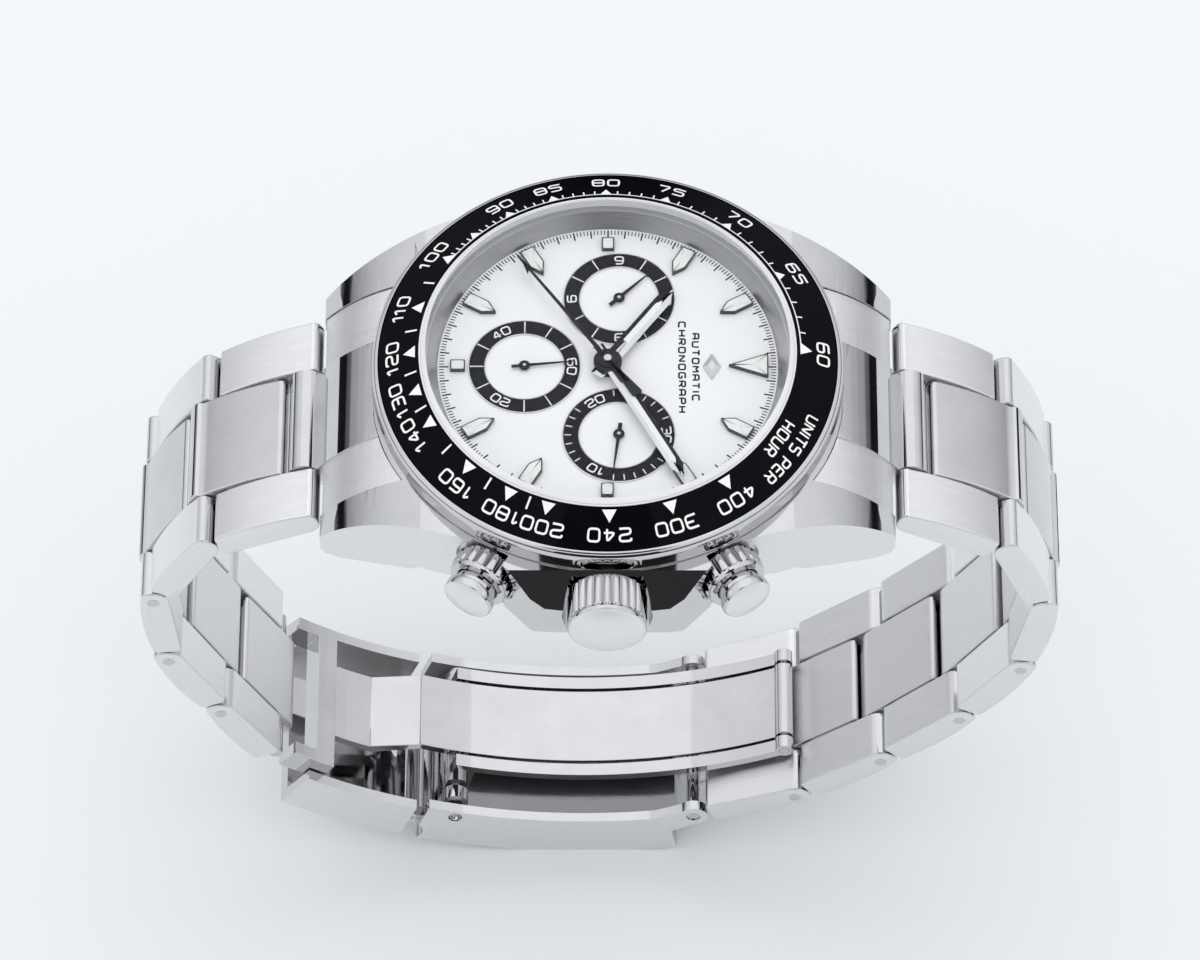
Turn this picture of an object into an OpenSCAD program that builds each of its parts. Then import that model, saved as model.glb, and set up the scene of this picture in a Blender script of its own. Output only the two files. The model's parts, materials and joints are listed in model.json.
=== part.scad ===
// Chronograph wristwatch on a folding-clasp steel bracelet.
// +X points to 3 o'clock (the crown), +Y to 12 o'clock, +Z out of the dial.
// The watch stands on its closed clasp; the origin is on the clasp's rest face, below the hands.

/* [Head] */
// Outer diameter of the round case body
case_d = 39.8; // [39.4:0.1:40.2]
// Height of the dial above the surface the clasp rests on
dial_z = 64; // [63.8:0.1:64.2]
// Distance between the lugs
lug_gap = 20.3; // [20.1:0.1:20.5]
// Distance over the lug tips, from 12 o'clock to 6 o'clock
lug_span = 48.4; // [48:0.1:48.8]
// Width of one lug at its tip
lug_tip_w = 2.1; // [1.9:0.1:2.3]
// Depth of the case body below the dial
case_depth = 7.2; // [7:0.1:7.4]

/* [Dial] */
// Diameter of the dial opening inside the flange
dial_open_d = 28.6; // [28.4:0.1:28.8]
// Distance of the sub-dials from the centre
subdial_r = 7.0; // [6.9:0.05:7.1]
// Shift of the 3 and 9 o'clock sub-dials towards 12
subdial_lift = 0.95; // [0.8:0.05:1.1]
// Outer radius of a sub-dial ring
subdial_ring_r = 4.65; // [4.5:0.05:4.7]
// Inner tip radius of the pointed hour markers
marker_tip_r = 10.9; // [10.8:0.1:11.2]

/* [Time shown] */
// Direction of the hour hand, clockwise from 12, in degrees
hour_at = 306; // [0:1:359]
// Direction of the minute hand
minute_at = 61.5; // [0:0.5:359]
// Direction of the central chronograph hand
chrono_at = 234.5; // [0:0.5:359]
// Direction of the small seconds hand at 6 o'clock
small_seconds_at = 354; // [0:1:359]
// Direction of the 30-minute counter hand at 3 o'clock
counter_30_at = 97; // [0:1:359]
// Direction of the 12-hour counter hand at 9 o'clock
counter_12_at = 315; // [0:1:359]

/* [Controls] */
// Crown radius
crown_r = 3.3; // [3.2:0.05:3.4]
// Depth of the crown and pusher axes below the dial
control_drop = 3.6; // [3.5:0.05:3.7]
// Angle of each pusher away from the crown axis
pusher_angle = 29; // [28:0.5:30]
// Radius of a pusher's lock collar
collar_r = 2.75; // [2.6:0.05:2.8]

/* [Bracelet] */
// Distance between two link pivots
pitch = 9.8; // [9.75:0.05:9.85]
// Link thickness
link_t = 2.8; // [2.6:0.1:2.8]
// Bracelet width at the case
strap_w = 20.1; // [20:0.1:20.2]
// Bracelet width at the clasp
strap_w_end = 16.8; // [16.6:0.1:17]
// Radius of the link pins
pin_r = 0.6; // [0.5:0.05:0.6]

/* [Clasp] */
// Outer radius of the curved clasp cover
clasp_r = 47; // [46.9:0.1:47.1]
// Clasp width
clasp_w = 16.5; // [16.4:0.1:16.6]
// Height of the cover's side walls
clasp_wall_h = 5.1; // [4.9:0.1:5.2]

/* [Hidden] */
$fn = 64;
eps = 0.02;
free = 0.03;                      // radial clearance of a pin or arbor in its bore
// head, heights are measured from the dial surface
case_r = case_d / 2;
case_top = -1.1;
movement_r = 15.6;
emblem_y = 8.75;
lug_tip_y = lug_span / 2;
bezel_in_r = 15.88;
insert_in = [15.92, 2.6];
insert_out = [19.3, 0.95];
insert_t = 0.72;
crystal_r = 15.7;
crystal_z0 = 1.5;
crystal_top = 2.95;
back_z = -9.8;
control_z = dial_z - control_drop;
// bracelet
ear_r = link_t / 2;
link_gap = 0.25;
outer_mid_u = pitch / 2 - ear_r - link_gap / 2;   // middle of an outer piece, from its pivot
pivot_y = 25.7;
pivot_z = dial_z - 8.9;
bend_12 = [30, 70, 100, 121, 133, 140, 157];   // slope of each link below the horizontal
bend_6 = [27, 62, 95, 115, 117];
mid_w0 = 9.7;                     // centre piece width at the case
mid_step = 0.25;                  // narrowing of the centre piece per link
pin_slot = 0.3;
// clasp, drawn on circles about one centre
clasp_cy = -2.3;
clasp_cz = 46.7;
wall_t = 0.9;
cover_a = [-19.2, 10.3];
flip_a = [-35.1, -20.6];
hinge_a = -19.9;
hinge_R = clasp_r - 0.85;
flip_room = 1.25;                 // radius cleared round the flip lock hinge
knuckle_a = -15.6;
knuckle_R = 42.8;
blade_R = [38.9, 39.7];
rail_x = [4.0, 5.2];
tongue_x = 3.7;
turn_a = 27.3;
turn_R = 39.2;
foot_x = [6.0, 7.2];

color_steel = "#b9babd";
color_polished = "#d7d8da";
color_black = "#0d0d10";
color_white = "#f4f4f2";

function on_clasp(a, r) = [clasp_cy + r * sin(a), clasp_cz - r * cos(a)];
function chain_y(bends, i) = i == 0 ? pivot_y : chain_y(bends, i - 1) + pitch * cos(bends[i - 1]);
function chain_z(bends, i) = i == 0 ? pivot_z : chain_z(bends, i - 1) - pitch * sin(bends[i - 1]);
function mid_w(i) = mid_w0 - mid_step * i;
function width_at(t) = strap_w + (strap_w_end - strap_w) * t;
function around(a, r) = [r * sin(a), r * cos(a)];    // clock angle to x, y

cover_pivot = [chain_y(bend_12, 7), chain_z(bend_12, 7)];
bar_pivot = [-chain_y(bend_6, 5), chain_z(bend_6, 5)];
knuckle = on_clasp(knuckle_a, knuckle_R);
turn = on_clasp(turn_a, turn_R);
flip_hinge = on_clasp(hinge_a, hinge_R);

// ---------- shared shapes ----------
// a flat shape drawn in the Y-Z plane, given a width from x0 to x1
module yz(x0, x1) {
    translate([x0, 0, 0]) rotate([90, 0, 90]) linear_extrude(x1 - x0) children();
}
// the same on both sides of the centre plane
module yz_pair(x0, x1) {
    for (s = [0, 1]) mirror([s, 0, 0]) yz(x0, x1) children();
}
module x_rod(p, r, x0, x1) {
    translate([x0, p[0], p[1]]) rotate([0, 90, 0]) cylinder(r = r, h = x1 - x0);
}
// ring sector about the clasp centre
module band(r0, r1, a0, a1) {
    intersection() {
        translate([clasp_cy, clasp_cz]) difference() {
            circle(r = r1, $fn = 180);
            circle(r = r0, $fn = 180);
        }
        polygon([on_clasp(a0, r0 * 0.6), on_clasp(a0, r1 * 1.3), on_clasp(a1, r1 * 1.3), on_clasp(a1, r0 * 0.6)]);
    }
}
// profile turned about the dial axis, heights from the dial surface
module turned(points) {
    translate([0, 0, dial_z]) rotate_extrude($fn = 128) polygon(points);
}
// stack of discs along a control's axis; children are drawn along +Z
module along(angle, r) {
    rotate([0, 0, angle]) translate([r, 0, control_z]) rotate([0, 90, 0]) children();
}

// ---------- head ----------
module case_plan() {
    circle(r = case_r, $fn = 128);
    for (sx = [0, 1], sy = [0, 1]) mirror([sx, 0]) mirror([0, sy])
        polygon([[lug_gap / 2, 10], [lug_gap / 2, lug_tip_y], [lug_gap / 2 + lug_tip_w, lug_tip_y],
            [17.6, 9.4], [14, 8]]);
    polygon([[17, -9.4], [19.4, -8.6], [21.9, -6.4], [22.6, -5.2], [22.8, -3],
        [22.8, 3], [22.6, 5.2], [21.9, 6.4], [19.4, 8.6], [17, 9.4]]);
}
module case_side() {
    fall_y = 12;
    fall_r = 15;
    intersection() {
        union() {
            translate([-fall_y, case_top - fall_r]) square([2 * fall_y, fall_r]);
            for (s = [-1, 1]) translate([s * fall_y, case_top - fall_r]) circle(r = fall_r, $fn = 128);
        }
        polygon([[-13.5, -case_depth], [-22.3, back_z + 0.2], [-lug_tip_y + 0.4, back_z + 0.2],
            [-lug_tip_y, back_z + 0.8], [-lug_tip_y, 0], [lug_tip_y, 0], [lug_tip_y, back_z + 0.8],
            [lug_tip_y - 0.4, back_z + 0.2], [22.3, back_z + 0.2], [13.5, -case_depth]]);
    }
}
module guard_slope() {
    translate([0, 30, dial_z]) rotate([90, 0, 0]) linear_extrude(60)
        polygon([[-30, back_z - 1], [-30, 1], [case_r - 0.5, 1], [case_r - 0.1, case_top], [23, -2.9],
            [23, -5.7], [22, -6.9], [15, -6.9 - 0.55], [15, back_z - 1]]);
}
module mid_case() {
    color(color_polished) difference() {
        intersection() {
            translate([0, 0, dial_z - 12]) linear_extrude(12) case_plan();
            translate([0, 0, dial_z]) yz(-24, 24) case_side();
            guard_slope();
        }
        translate([0, 0, dial_z + back_z - 1]) cylinder(r = movement_r + 0.05, h = 12, $fn = 128);
        translate([0, 0, dial_z - case_depth - 3]) cylinder(r = 17.75, h = 3, $fn = 128);
        // groove of the back gasket
        turned([[16.25, -case_depth - 0.1], [16.95, -case_depth - 0.1], [16.95, -6.6], [16.25, -6.6]]);
        // crown cut-out, tube bores and spring-bar holes
        along(0, case_r + 0.35) cylinder(r = crown_r + 0.45, h = 6);
        along(0, 14) cylinder(r = 1.5, h = 8);
        for (a = [-pusher_angle, pusher_angle]) {
            along(a, 14) cylinder(r = 0.9, h = 8);
            along(a, 18.6) cylinder(r = 1.35, h = 4);
            along(a, case_r + 0.1) cylinder(r = collar_r + 0.3, h = 6);
        }
        for (s = [-1, 1]) x_rod([s * 21.2, dial_z - 7.4], 0.65, -lug_gap / 2 - 1.3, lug_gap / 2 + 1.3);
    }
}
module bezel_ring() {
    edge = case_r - 0.02;
    color(color_polished) turned([[bezel_in_r, case_top], [edge - 0.15, case_top], [edge, case_top + 0.15],
        [edge, 0.45], [edge - 0.2, 0.75], [insert_out[0] + 0.04, 0.98],
        [insert_out[0] + 0.04, insert_out[1] - insert_t - 0.04], [bezel_in_r, insert_in[1] - insert_t - 0.04]]);
}
module bezel_insert() {
    color(color_black) turned([insert_in, insert_out, [insert_out[0], insert_out[1] - insert_t],
        [insert_in[0], insert_in[1] - insert_t]]);
}
module crystal() {
    color("#dfe8ee", 0.25) turned([[0, crystal_z0], [crystal_r, crystal_z0], [crystal_r, crystal_top - 0.35],
        [crystal_r - 0.4, crystal_top], [0, crystal_top]]);
}
module crystal_gasket() {
    color("#e9e9e6") turned([[crystal_r + 0.01, crystal_z0], [bezel_in_r - 0.01, crystal_z0],
        [bezel_in_r - 0.01, insert_in[1] - 0.1], [crystal_r + 0.01, insert_in[1] - 0.1]]);
}
module flange_ring() {
    in_r = dial_open_d / 2;
    color(color_steel) turned([[in_r, eps], [in_r + 0.9, crystal_z0 - eps], [crystal_r, crystal_z0 - eps],
        [crystal_r, eps]]);
}
module dial() {
    color(color_white) difference() {
        translate([0, 0, dial_z - 0.4]) cylinder(r = movement_r - 0.05, h = 0.4, $fn = 128);
        translate([0, 0, dial_z - 1]) cylinder(r = 1.05, h = 2);
        for (c = [[0, -subdial_r], [subdial_r, subdial_lift], [-subdial_r, subdial_lift]])
            translate([c[0], c[1], dial_z - 1]) cylinder(r = 0.25, h = 2, $fn = 24);
    }
}
// pointed marker: outline from its inner tip outward
module marker_plan(grow) {
    polygon([[0, marker_tip_r - grow * 1.6], [0.66 + grow, marker_tip_r + 1.1], [0.66 + grow, 13.85 + grow],
        [-0.66 - grow, 13.85 + grow], [-0.66 - grow, marker_tip_r + 1.1]]);
}
module triangle_plan(grow) {
    polygon([[0, 10.15 - grow * 2.4], [1.2 + grow * 1.6, 13.5 + grow], [-1.2 - grow * 1.6, 13.5 + grow]]);
}
module block_plan(grow) {
    translate([-0.53 - grow, 12 - grow]) square([1.06 + 2 * grow, 1.25 + 2 * grow]);
}
module marker_shape(hour, grow) {
    rotate(-30 * hour)
        if (hour == 0) triangle_plan(grow);
        else if (hour % 3 == 0) block_plan(grow);
        else marker_plan(grow);
}
module hour_markers() {
    color("#3a3c40") for (h = [0:11]) translate([0, 0, dial_z + 0.01]) linear_extrude(0.36) marker_shape(h, 0);
}
module marker_lume() {
    color("#f7f8f1") for (h = [0:11]) translate([0, 0, dial_z + 0.38]) linear_extrude(0.05) marker_shape(h, -0.16);
}
module subdial_rings() {
    color(color_black) for (c = [[0, -subdial_r], [subdial_r, subdial_lift], [-subdial_r, subdial_lift]])
        translate([c[0], c[1], dial_z + 0.01]) difference() {
            cylinder(r = subdial_ring_r, h = 0.07);
            translate([0, 0, -1]) cylinder(r = subdial_ring_r - 1.25, h = 2);
        }
}
module dial_emblem() {
    color(color_polished) translate([0, emblem_y, dial_z + 0.01]) linear_extrude(0.25)
        polygon([[0, 0.75], [1.3, 0], [0, -0.75], [-1.3, 0]]);
}

// ---------- hands ----------
module baton(length, w, tail) {
    polygon([[-w * 0.42, -tail], [w * 0.42, -tail], [w / 2, 1], [w / 2, length - w], [0, length],
        [-w / 2, length - w], [-w / 2, 1]]);
}
module main_hand(at, length, w, tail, z, t, pipe_r, bore_r, foot) {
    translate([0, 0, dial_z]) rotate([0, 0, -at]) difference() {
        union() {
            translate([0, 0, z]) linear_extrude(t) baton(length, w, tail);
            translate([0, 0, z]) cylinder(r = 1.25, h = t);
            translate([0, 0, foot]) cylinder(r = pipe_r, h = z + t - foot);
        }
        translate([0, 0, foot - 1]) cylinder(r = bore_r, h = z + t - foot + 2);
    }
}
module hour_hand() {
    color(color_polished) main_hand(hour_at, 9.4, 1.35, 1.6, 0.6, 0.16, 1.0, 0.74, -0.9);
}
module minute_hand() {
    color(color_polished) main_hand(minute_at, 13.3, 1.15, 1.8, 0.86, 0.14, 0.7, 0.4, -1.3);
}
module chrono_seconds_hand() {
    z = 1.1;
    color(color_black) translate([0, 0, dial_z]) rotate([0, 0, -chrono_at]) {
        translate([0, 0, z]) linear_extrude(0.12) {
            polygon([[-0.13, 0], [-0.09, 13.2], [0.09, 13.2], [0.13, 0]]);
            polygon([[-0.42, 11.1], [0, 12.6], [0.42, 11.1], [0, 11.45]]);
            polygon([[-0.14, 0], [0.14, 0], [0.5, -4.4], [-0.5, -4.4]]);
            circle(r = 0.85);
        }
        translate([0, 0, -1.7]) cylinder(r = 0.36, h = 1.7 + z + 0.24, $fn = 32);
    }
}
module small_hand(c, at, length, tail, w, tone) {
    color(tone) translate([c[0], c[1], dial_z]) rotate([0, 0, -at]) {
        translate([0, 0, 0.22]) linear_extrude(0.1) {
            polygon([[-w / 2, -tail], [w / 2, -tail], [w / 2, 0], [0.04, length], [-0.04, length], [-w / 2, 0]]);
            circle(r = 0.48, $fn = 32);
        }
        translate([0, 0, -0.9]) cylinder(r = 0.2, h = 1.22, $fn = 24);
    }
}
module small_seconds_hand() {
    small_hand([0, -subdial_r], small_seconds_at, 4.1, 1.1, 0.26, color_black);
}
module counter_30_hand() {
    small_hand([subdial_r, subdial_lift], counter_30_at, 3.9, 1.1, 0.34, color_black);
}
module counter_12_hand() {
    small_hand([-subdial_r, subdial_lift], counter_12_at, 3.6, 1.1, 0.34, color_polished);
}

// ---------- back and movement ----------
module case_back() {
    color(color_steel) difference() {
        turned([[0, back_z], [16.6, back_z], [17.6, back_z + 0.9], [17.6, -case_depth - eps],
            [movement_r - 0.1, -case_depth - eps], [movement_r - 0.1, -6.75], [14.6, -6.75],
            [14.6, -8.9], [0, -8.9]]);
        for (a = [0:60:300]) rotate([0, 0, a + 30])
            translate([15.6, -1, dial_z + back_z - 0.1]) cube([3, 2, 0.75]);
    }
}
module case_back_gasket() {
    color("#202022") translate([0, 0, dial_z - 6.92]) rotate_extrude($fn = 96) translate([16.6, 0]) circle(r = 0.27, $fn = 24);
}
module movement_holder() {
    color("#d8d4c4") difference() {
        turned([[14.95, -5.4], [movement_r - 0.03, -5.4], [movement_r - 0.03, -0.45], [14.95, -0.45]]);
        along(0, 12) cylinder(r = 0.95, h = 6);
    }
}
module main_plate() {
    color("#c9b98c") difference() {
        translate([0, 0, dial_z - 2.2]) cylinder(r = 14.9, h = 1.75, $fn = 96);
        translate([0, 0, dial_z - 3]) cylinder(r = 1.05, h = 4);
        for (c = [[0, -subdial_r], [subdial_r, subdial_lift], [-subdial_r, subdial_lift]])
            translate([c[0], c[1], dial_z - 3]) cylinder(r = 0.25, h = 4, $fn = 24);
    }
}
barrel_at = [-6.5, 6.2];
balance_at = [5.2, -7.4];
module train_bridge() {
    color("#c3c4c6") difference() {
        union() {
            translate([0, 0, dial_z - 4.9]) cylinder(r = 14.8, h = 0.9, $fn = 96);
            for (a = [20, 75, 200, 250]) translate([13 * cos(a), 13 * sin(a), dial_z - 4.05]) cylinder(r = 1, h = 1.84);
            translate([0, 0, dial_z - 6.2]) cylinder(r = 1.2, h = 1.45);
        }
        translate([barrel_at[0], barrel_at[1], dial_z - 5]) cylinder(r = 0.63, h = 2);
        translate([balance_at[0], balance_at[1], dial_z - 5]) cylinder(r = 0.33, h = 2);
        along(0, 8.5) cylinder(r = 0.9, h = 8);
    }
}
module barrel() {
    color("#cfae5a") translate([barrel_at[0], barrel_at[1], dial_z]) {
        translate([0, 0, -3.8]) cylinder(r = 5.4, h = 1.3);
        translate([0, 0, -4.8]) cylinder(r = 0.6, h = 1.5);
    }
}
module balance() {
    color("#d6b45e") translate([balance_at[0], balance_at[1], dial_z - 3.5]) {
        difference() {
            cylinder(r = 4.6, h = 0.5);
            translate([0, 0, -1]) cylinder(r = 3.9, h = 2);
        }
        translate([-4.2, -0.35, 0]) cube([8.4, 0.7, 0.4]);
        translate([0, 0, -1.2]) cylinder(r = 0.3, h = 2.2, $fn = 32);
    }
}
module rotor() {
    color("#c8c9cb") translate([0, 0, dial_z]) rotate([0, 0, 200]) difference() {
        union() {
            intersection() {
                translate([0, 0, -6.6]) cylinder(r = 14.2, h = 0.6, $fn = 96);
                translate([-15, -15, -7]) cube([30, 15, 3]);
            }
            translate([0, 0, -6.6]) cylinder(r = 2.4, h = 0.75);
        }
        translate([0, 0, -6.25]) cylinder(r = 1.25, h = 2);
    }
}

// ---------- crown and pushers ----------
module crown_tube() {
    color(color_steel) along(0, 16) difference() {
        cylinder(r = 1.49, h = 6.2);
        translate([0, 0, -1]) cylinder(r = 0.78, h = 9);
    }
}
module winding_stem() {
    color(color_steel) along(0, 9) {
        cylinder(r = 0.7, h = 14.5);
        cylinder(r = 0.85, h = 3);
    }
}
module flutes(r, n, depth, h) {
    for (i = [0:n - 1]) rotate([0, 0, 360 / n * i]) translate([r + depth * 0.9, 0, -1]) cylinder(r = depth * 1.6, h = h + 2, $fn = 24);
}
module crown() {
    len = 3.5;
    color(color_polished) along(0, case_r + 0.6) difference() {
        union() {
            difference() {
                cylinder(r = crown_r - 0.05, h = len);
                flutes(crown_r, 24, 0.22, len - 0.35);
            }
            intersection() {
                translate([0, 0, len - 9.6]) sphere(r = 10.4, $fn = 96);
                translate([0, 0, len - eps]) cylinder(r = crown_r, h = 2);
            }
        }
        translate([0, 0, -1]) cylinder(r = 1.57, h = 3.2);
        translate([0, 0, -1]) cylinder(r = 0.75, h = 4.2);
    }
}
module pusher_tubes() {
    color(color_steel) for (a = [-pusher_angle, pusher_angle]) along(a, 18.65) difference() {
        cylinder(r = 1.33, h = 2.5);
        translate([0, 0, -1]) cylinder(r = 0.85, h = 5);
    }
}
module pusher(angle) {
    color(color_polished) {
        along(angle, 16.7) cylinder(r = 0.78, h = 5.6);
        along(angle, 21.95) cylinder(r = 1.78, h = 1.4);
        along(angle, 23.2) cylinder(r = 2.5, h = 0.85);
        along(angle, 24.03) intersection() {
            translate([0, 0, 0.55 - 6.5]) sphere(r = 6.5, $fn = 96);
            cylinder(r = 2.5, h = 2);
        }
    }
}
module pusher_2() { pusher(pusher_angle); }
module pusher_4() { pusher(-pusher_angle); }
module collar(angle) {
    color(color_polished) along(angle, case_r + 0.35) difference() {
        cylinder(r = collar_r, h = 2.15);
        flutes(collar_r, 16, 0.26, 1.6);
        translate([0, 0, -1]) cylinder(r = 1.4, h = 2.05);
        translate([0, 0, 0.98]) cylinder(r = 1.84, h = 3);
    }
}
module collar_2() { collar(pusher_angle); }
module collar_4() { collar(-pusher_angle); }

// ---------- bracelet ----------
// side view of the outer piece: round case-side end about the pivot, domed top
module outer_side() {
    intersection() {
        union() {
            circle(r = ear_r, $fn = 48);
            translate([0, -ear_r]) square([pitch - ear_r - link_gap, link_t]);
        }
        translate([pitch / 2 - 1, ear_r - 26]) circle(r = 26, $fn = 180);
        // takes the corners off the flat end
        translate([outer_mid_u, 0]) circle(r = outer_mid_u + ear_r + 0.05, $fn = 180);
    }
}
module mid_side() {
    intersection() {
        union() {
            translate([pitch, 0]) circle(r = ear_r, $fn = 48);
            translate([ear_r + link_gap, -ear_r]) square([pitch - ear_r - link_gap, link_t]);
        }
        translate([pitch / 2 + 1, ear_r - 26]) circle(r = 26, $fn = 180);
    }
}
module link(i, n, bends) {
    w0 = width_at(i / n) / 2;
    w1 = width_at((i + 1) / n) / 2;
    ear_x = mid_w(i - 1) / 2 + 0.1;
    mid_x = mid_w(i) / 2;
    core_x = ear_x + 0.5;
    translate([0, chain_y(bends, i), chain_z(bends, i)]) rotate([-bends[i], 0, 0]) {
        difference() {
            union() {
                intersection() {
                    yz_pair(ear_x, 12) outer_side();
                    translate([0, 0, -3]) linear_extrude(6)
                        polygon([[-w0, -2], [w0, -2], [w1, pitch], [-w1, pitch]]);
                }
                yz(-mid_x, mid_x) mid_side();
                translate([-core_x, 2.4, -1.05]) cube([2 * core_x, pitch - 5, 1.9]);
            }
            x_rod([0, 0], pin_r + free, -12, 12);
            x_rod([pitch, 0], pin_r + free, -12, 12);
        }
        difference() {
            x_rod([0, 0], pin_r, -w0 + 0.25, w0 - 0.25);
            translate([w0 - 0.25 - pin_slot, -0.12, -1]) cube([1, 0.24, 2]);
        }
    }
}
module link_12(i) { color(color_steel) link(i, 7, bend_12); }
module link_6(i) { color(color_steel) mirror([0, 1, 0]) link(i, 5, bend_6); }
module link_12_1() { link_12(0); }
module link_12_2() { link_12(1); }
module link_12_3() { link_12(2); }
module link_12_4() { link_12(3); }
module link_12_5() { link_12(4); }
module link_12_6() { link_12(5); }
module link_12_7() { link_12(6); }
module link_6_1() { link_6(0); }
module link_6_2() { link_6(1); }
module link_6_3() { link_6(2); }
module link_6_4() { link_6(3); }
module link_6_5() { link_6(4); }
// end link: fills the space between case and bracelet, its tongue carries the first pivot
module end_link() {
    top = dial_z + case_top - 0.05;
    x_side = lug_gap / 2 - 0.08;
    tongue = mid_w(-1) / 2;
    end_y = pivot_y - ear_r - link_gap;
    color(color_steel) difference() {
        intersection() {
            union() {
                yz_pair(tongue - 0.4, x_side) intersection() {
                    polygon([[14, top], [end_y, top], [end_y, pivot_z - ear_r], [14, pivot_z - ear_r]]);
                    translate([12, dial_z + case_top - 15.2]) circle(r = 15, $fn = 128);
                }
                yz(-tongue, tongue) union() {
                    intersection() {
                        polygon([[14, top], [pivot_y, top], [pivot_y, pivot_z - ear_r], [14, pivot_z - ear_r]]);
                        translate([12, dial_z + case_top - 15]) circle(r = 15, $fn = 128);
                    }
                    translate([pivot_y, pivot_z]) circle(r = ear_r, $fn = 48);
                }
            }
            translate([-15, 10, dial_z - 12]) cube([30, 20, 12]);
        }
        translate([0, 0, dial_z - 14]) cylinder(r = case_r + 0.04, h = 16, $fn = 128);
        x_rod([21.2, dial_z - 7.4], pin_r + free, -15, 15);
        x_rod([pivot_y, pivot_z], pin_r + free, -15, 15);
    }
}
module end_link_12() { end_link(); }
module end_link_6() { mirror([0, 1, 0]) end_link(); }
module lug_spring_bars() {
    color(color_steel) for (s = [-1, 1])
        x_rod([s * 21.2, dial_z - 7.4], pin_r, -lug_gap / 2 - 1.2, lug_gap / 2 + 1.2);
}
module clasp_spring_bar() {
    color(color_steel) x_rod(bar_pivot, pin_r, -foot_x[1], foot_x[1]);
}

// ---------- clasp ----------
module clasp_cover() {
    half = clasp_w / 2;
    color(color_steel) difference() {
        union() {
            yz(-half, half) band(clasp_r - 1, clasp_r, cover_a[0], cover_a[1]);
            yz_pair(half - wall_t, half) {
                band(clasp_r - clasp_wall_h, clasp_r, cover_a[0], cover_a[1]);
                translate(cover_pivot) circle(r = 1.3, $fn = 48);
                polygon([cover_pivot + [0, 1.25], on_clasp(8, 42.1), on_clasp(8, 45), cover_pivot + [0, -1.25]]);
            }
            // posts of the knuckle pin
            yz_pair(5.5, 6.7) {
                translate(knuckle) circle(r = 1.15, $fn = 48);
                polygon([on_clasp(knuckle_a - 1.5, knuckle_R), on_clasp(knuckle_a - 1.5, clasp_r - 0.5),
                    on_clasp(knuckle_a + 1.5, clasp_r - 0.5), on_clasp(knuckle_a + 1.5, knuckle_R)]);
            }
            // ears of the flip lock's hinge
            yz_pair(5.9, 6.9) {
                translate(flip_hinge) circle(r = 0.75, $fn = 32);
                polygon([flip_hinge + [0, 0.7], on_clasp(-18, 45.6), on_clasp(-18, 46.6), flip_hinge + [0, -0.7]]);
            }
        }
        translate([-20, -40, -5]) cube([40, 80, 5]);
        x_rod(cover_pivot, pin_r + free, -12, 12);
        x_rod(knuckle, pin_r + free, -12, 12);
        x_rod(flip_hinge, 0.35 + free, -7.2, 7.2);
        // room for the flip lock's hinge barrel and for its edge as it swings
        x_rod(flip_hinge, flip_room, -5.85, 5.85);
        x_rod(flip_hinge, flip_room, 6.95, half + 1);
        x_rod(flip_hinge, flip_room, -half - 1, -6.95);
    }
}
module cover_pin() {
    color(color_steel) x_rod(cover_pivot, pin_r, -clasp_w / 2 + 0.1, clasp_w / 2 - 0.1);
}
module clasp_knuckle_pin() {
    color(color_steel) x_rod(knuckle, pin_r, -6.7, 6.7);
}
module flip_lock() {
    half = clasp_w / 2;
    color(color_steel) difference() {
        union() {
            yz(-half, half) band(clasp_r - 1, clasp_r, flip_a[0], flip_a[1]);
            yz_pair(half - wall_t, half) band(clasp_r - clasp_wall_h + 0.5, clasp_r, flip_a[0], flip_a[1]);
            yz(-5.7, 5.7) {
                translate(flip_hinge) circle(r = 0.75, $fn = 32);
                polygon([flip_hinge + [0, 0.6], on_clasp(-21.5, 45.9), on_clasp(-21.5, 46.8), flip_hinge + [0, -0.6]]);
            }
        }
        yz_pair(5.8, 7) band(44, 48, -21.2, -18);
        x_rod(flip_hinge, 0.35 + free, -7.2, 7.2);
    }
}
module flip_pin() {
    color(color_steel) x_rod(flip_hinge, 0.35, -6.9, 6.9);
}
module blade_mid() {
    color(color_polished) difference() {
        union() {
            yz_pair(rail_x[0], rail_x[1]) {
                band(blade_R[0], blade_R[1], knuckle_a - 1.4, turn_a);
                band(blade_R[0], knuckle_R, knuckle_a - 1.4, knuckle_a + 1.4);
                translate(turn) circle(r = 0.8, $fn = 32);
            }
            x_rod(knuckle, 1.05, -rail_x[1], rail_x[1]);
        }
        x_rod(knuckle, pin_r + free, -12, 12);
        x_rod(turn, 0.4 + free, -12, 12);
    }
}
module blade_inner() {
    color(color_polished) difference() {
        union() {
            yz(-tongue_x, tongue_x) {
                band(blade_R[0], blade_R[1], -22, turn_a - 0.6);
                translate(turn) circle(r = 0.8, $fn = 32);
                polygon([on_clasp(-21.6, blade_R[0]), on_clasp(-21.6, blade_R[1]), on_clasp(-27, 42),
                    on_clasp(-27.6, 41.2)]);
                band(41.2, 42, -34.5, -26.8);
            }
            yz(-foot_x[1], foot_x[1]) band(40.9, 42.9, -35.5, -32.8);
            yz_pair(foot_x[0], foot_x[1]) band(40.9, 43.4, -38.6, -33);
        }
        x_rod(turn, 0.4 + free, -12, 12);
    }
}
module blade_pin() {
    color(color_steel) x_rod(turn, 0.4, -rail_x[1], rail_x[1]);
}

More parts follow.
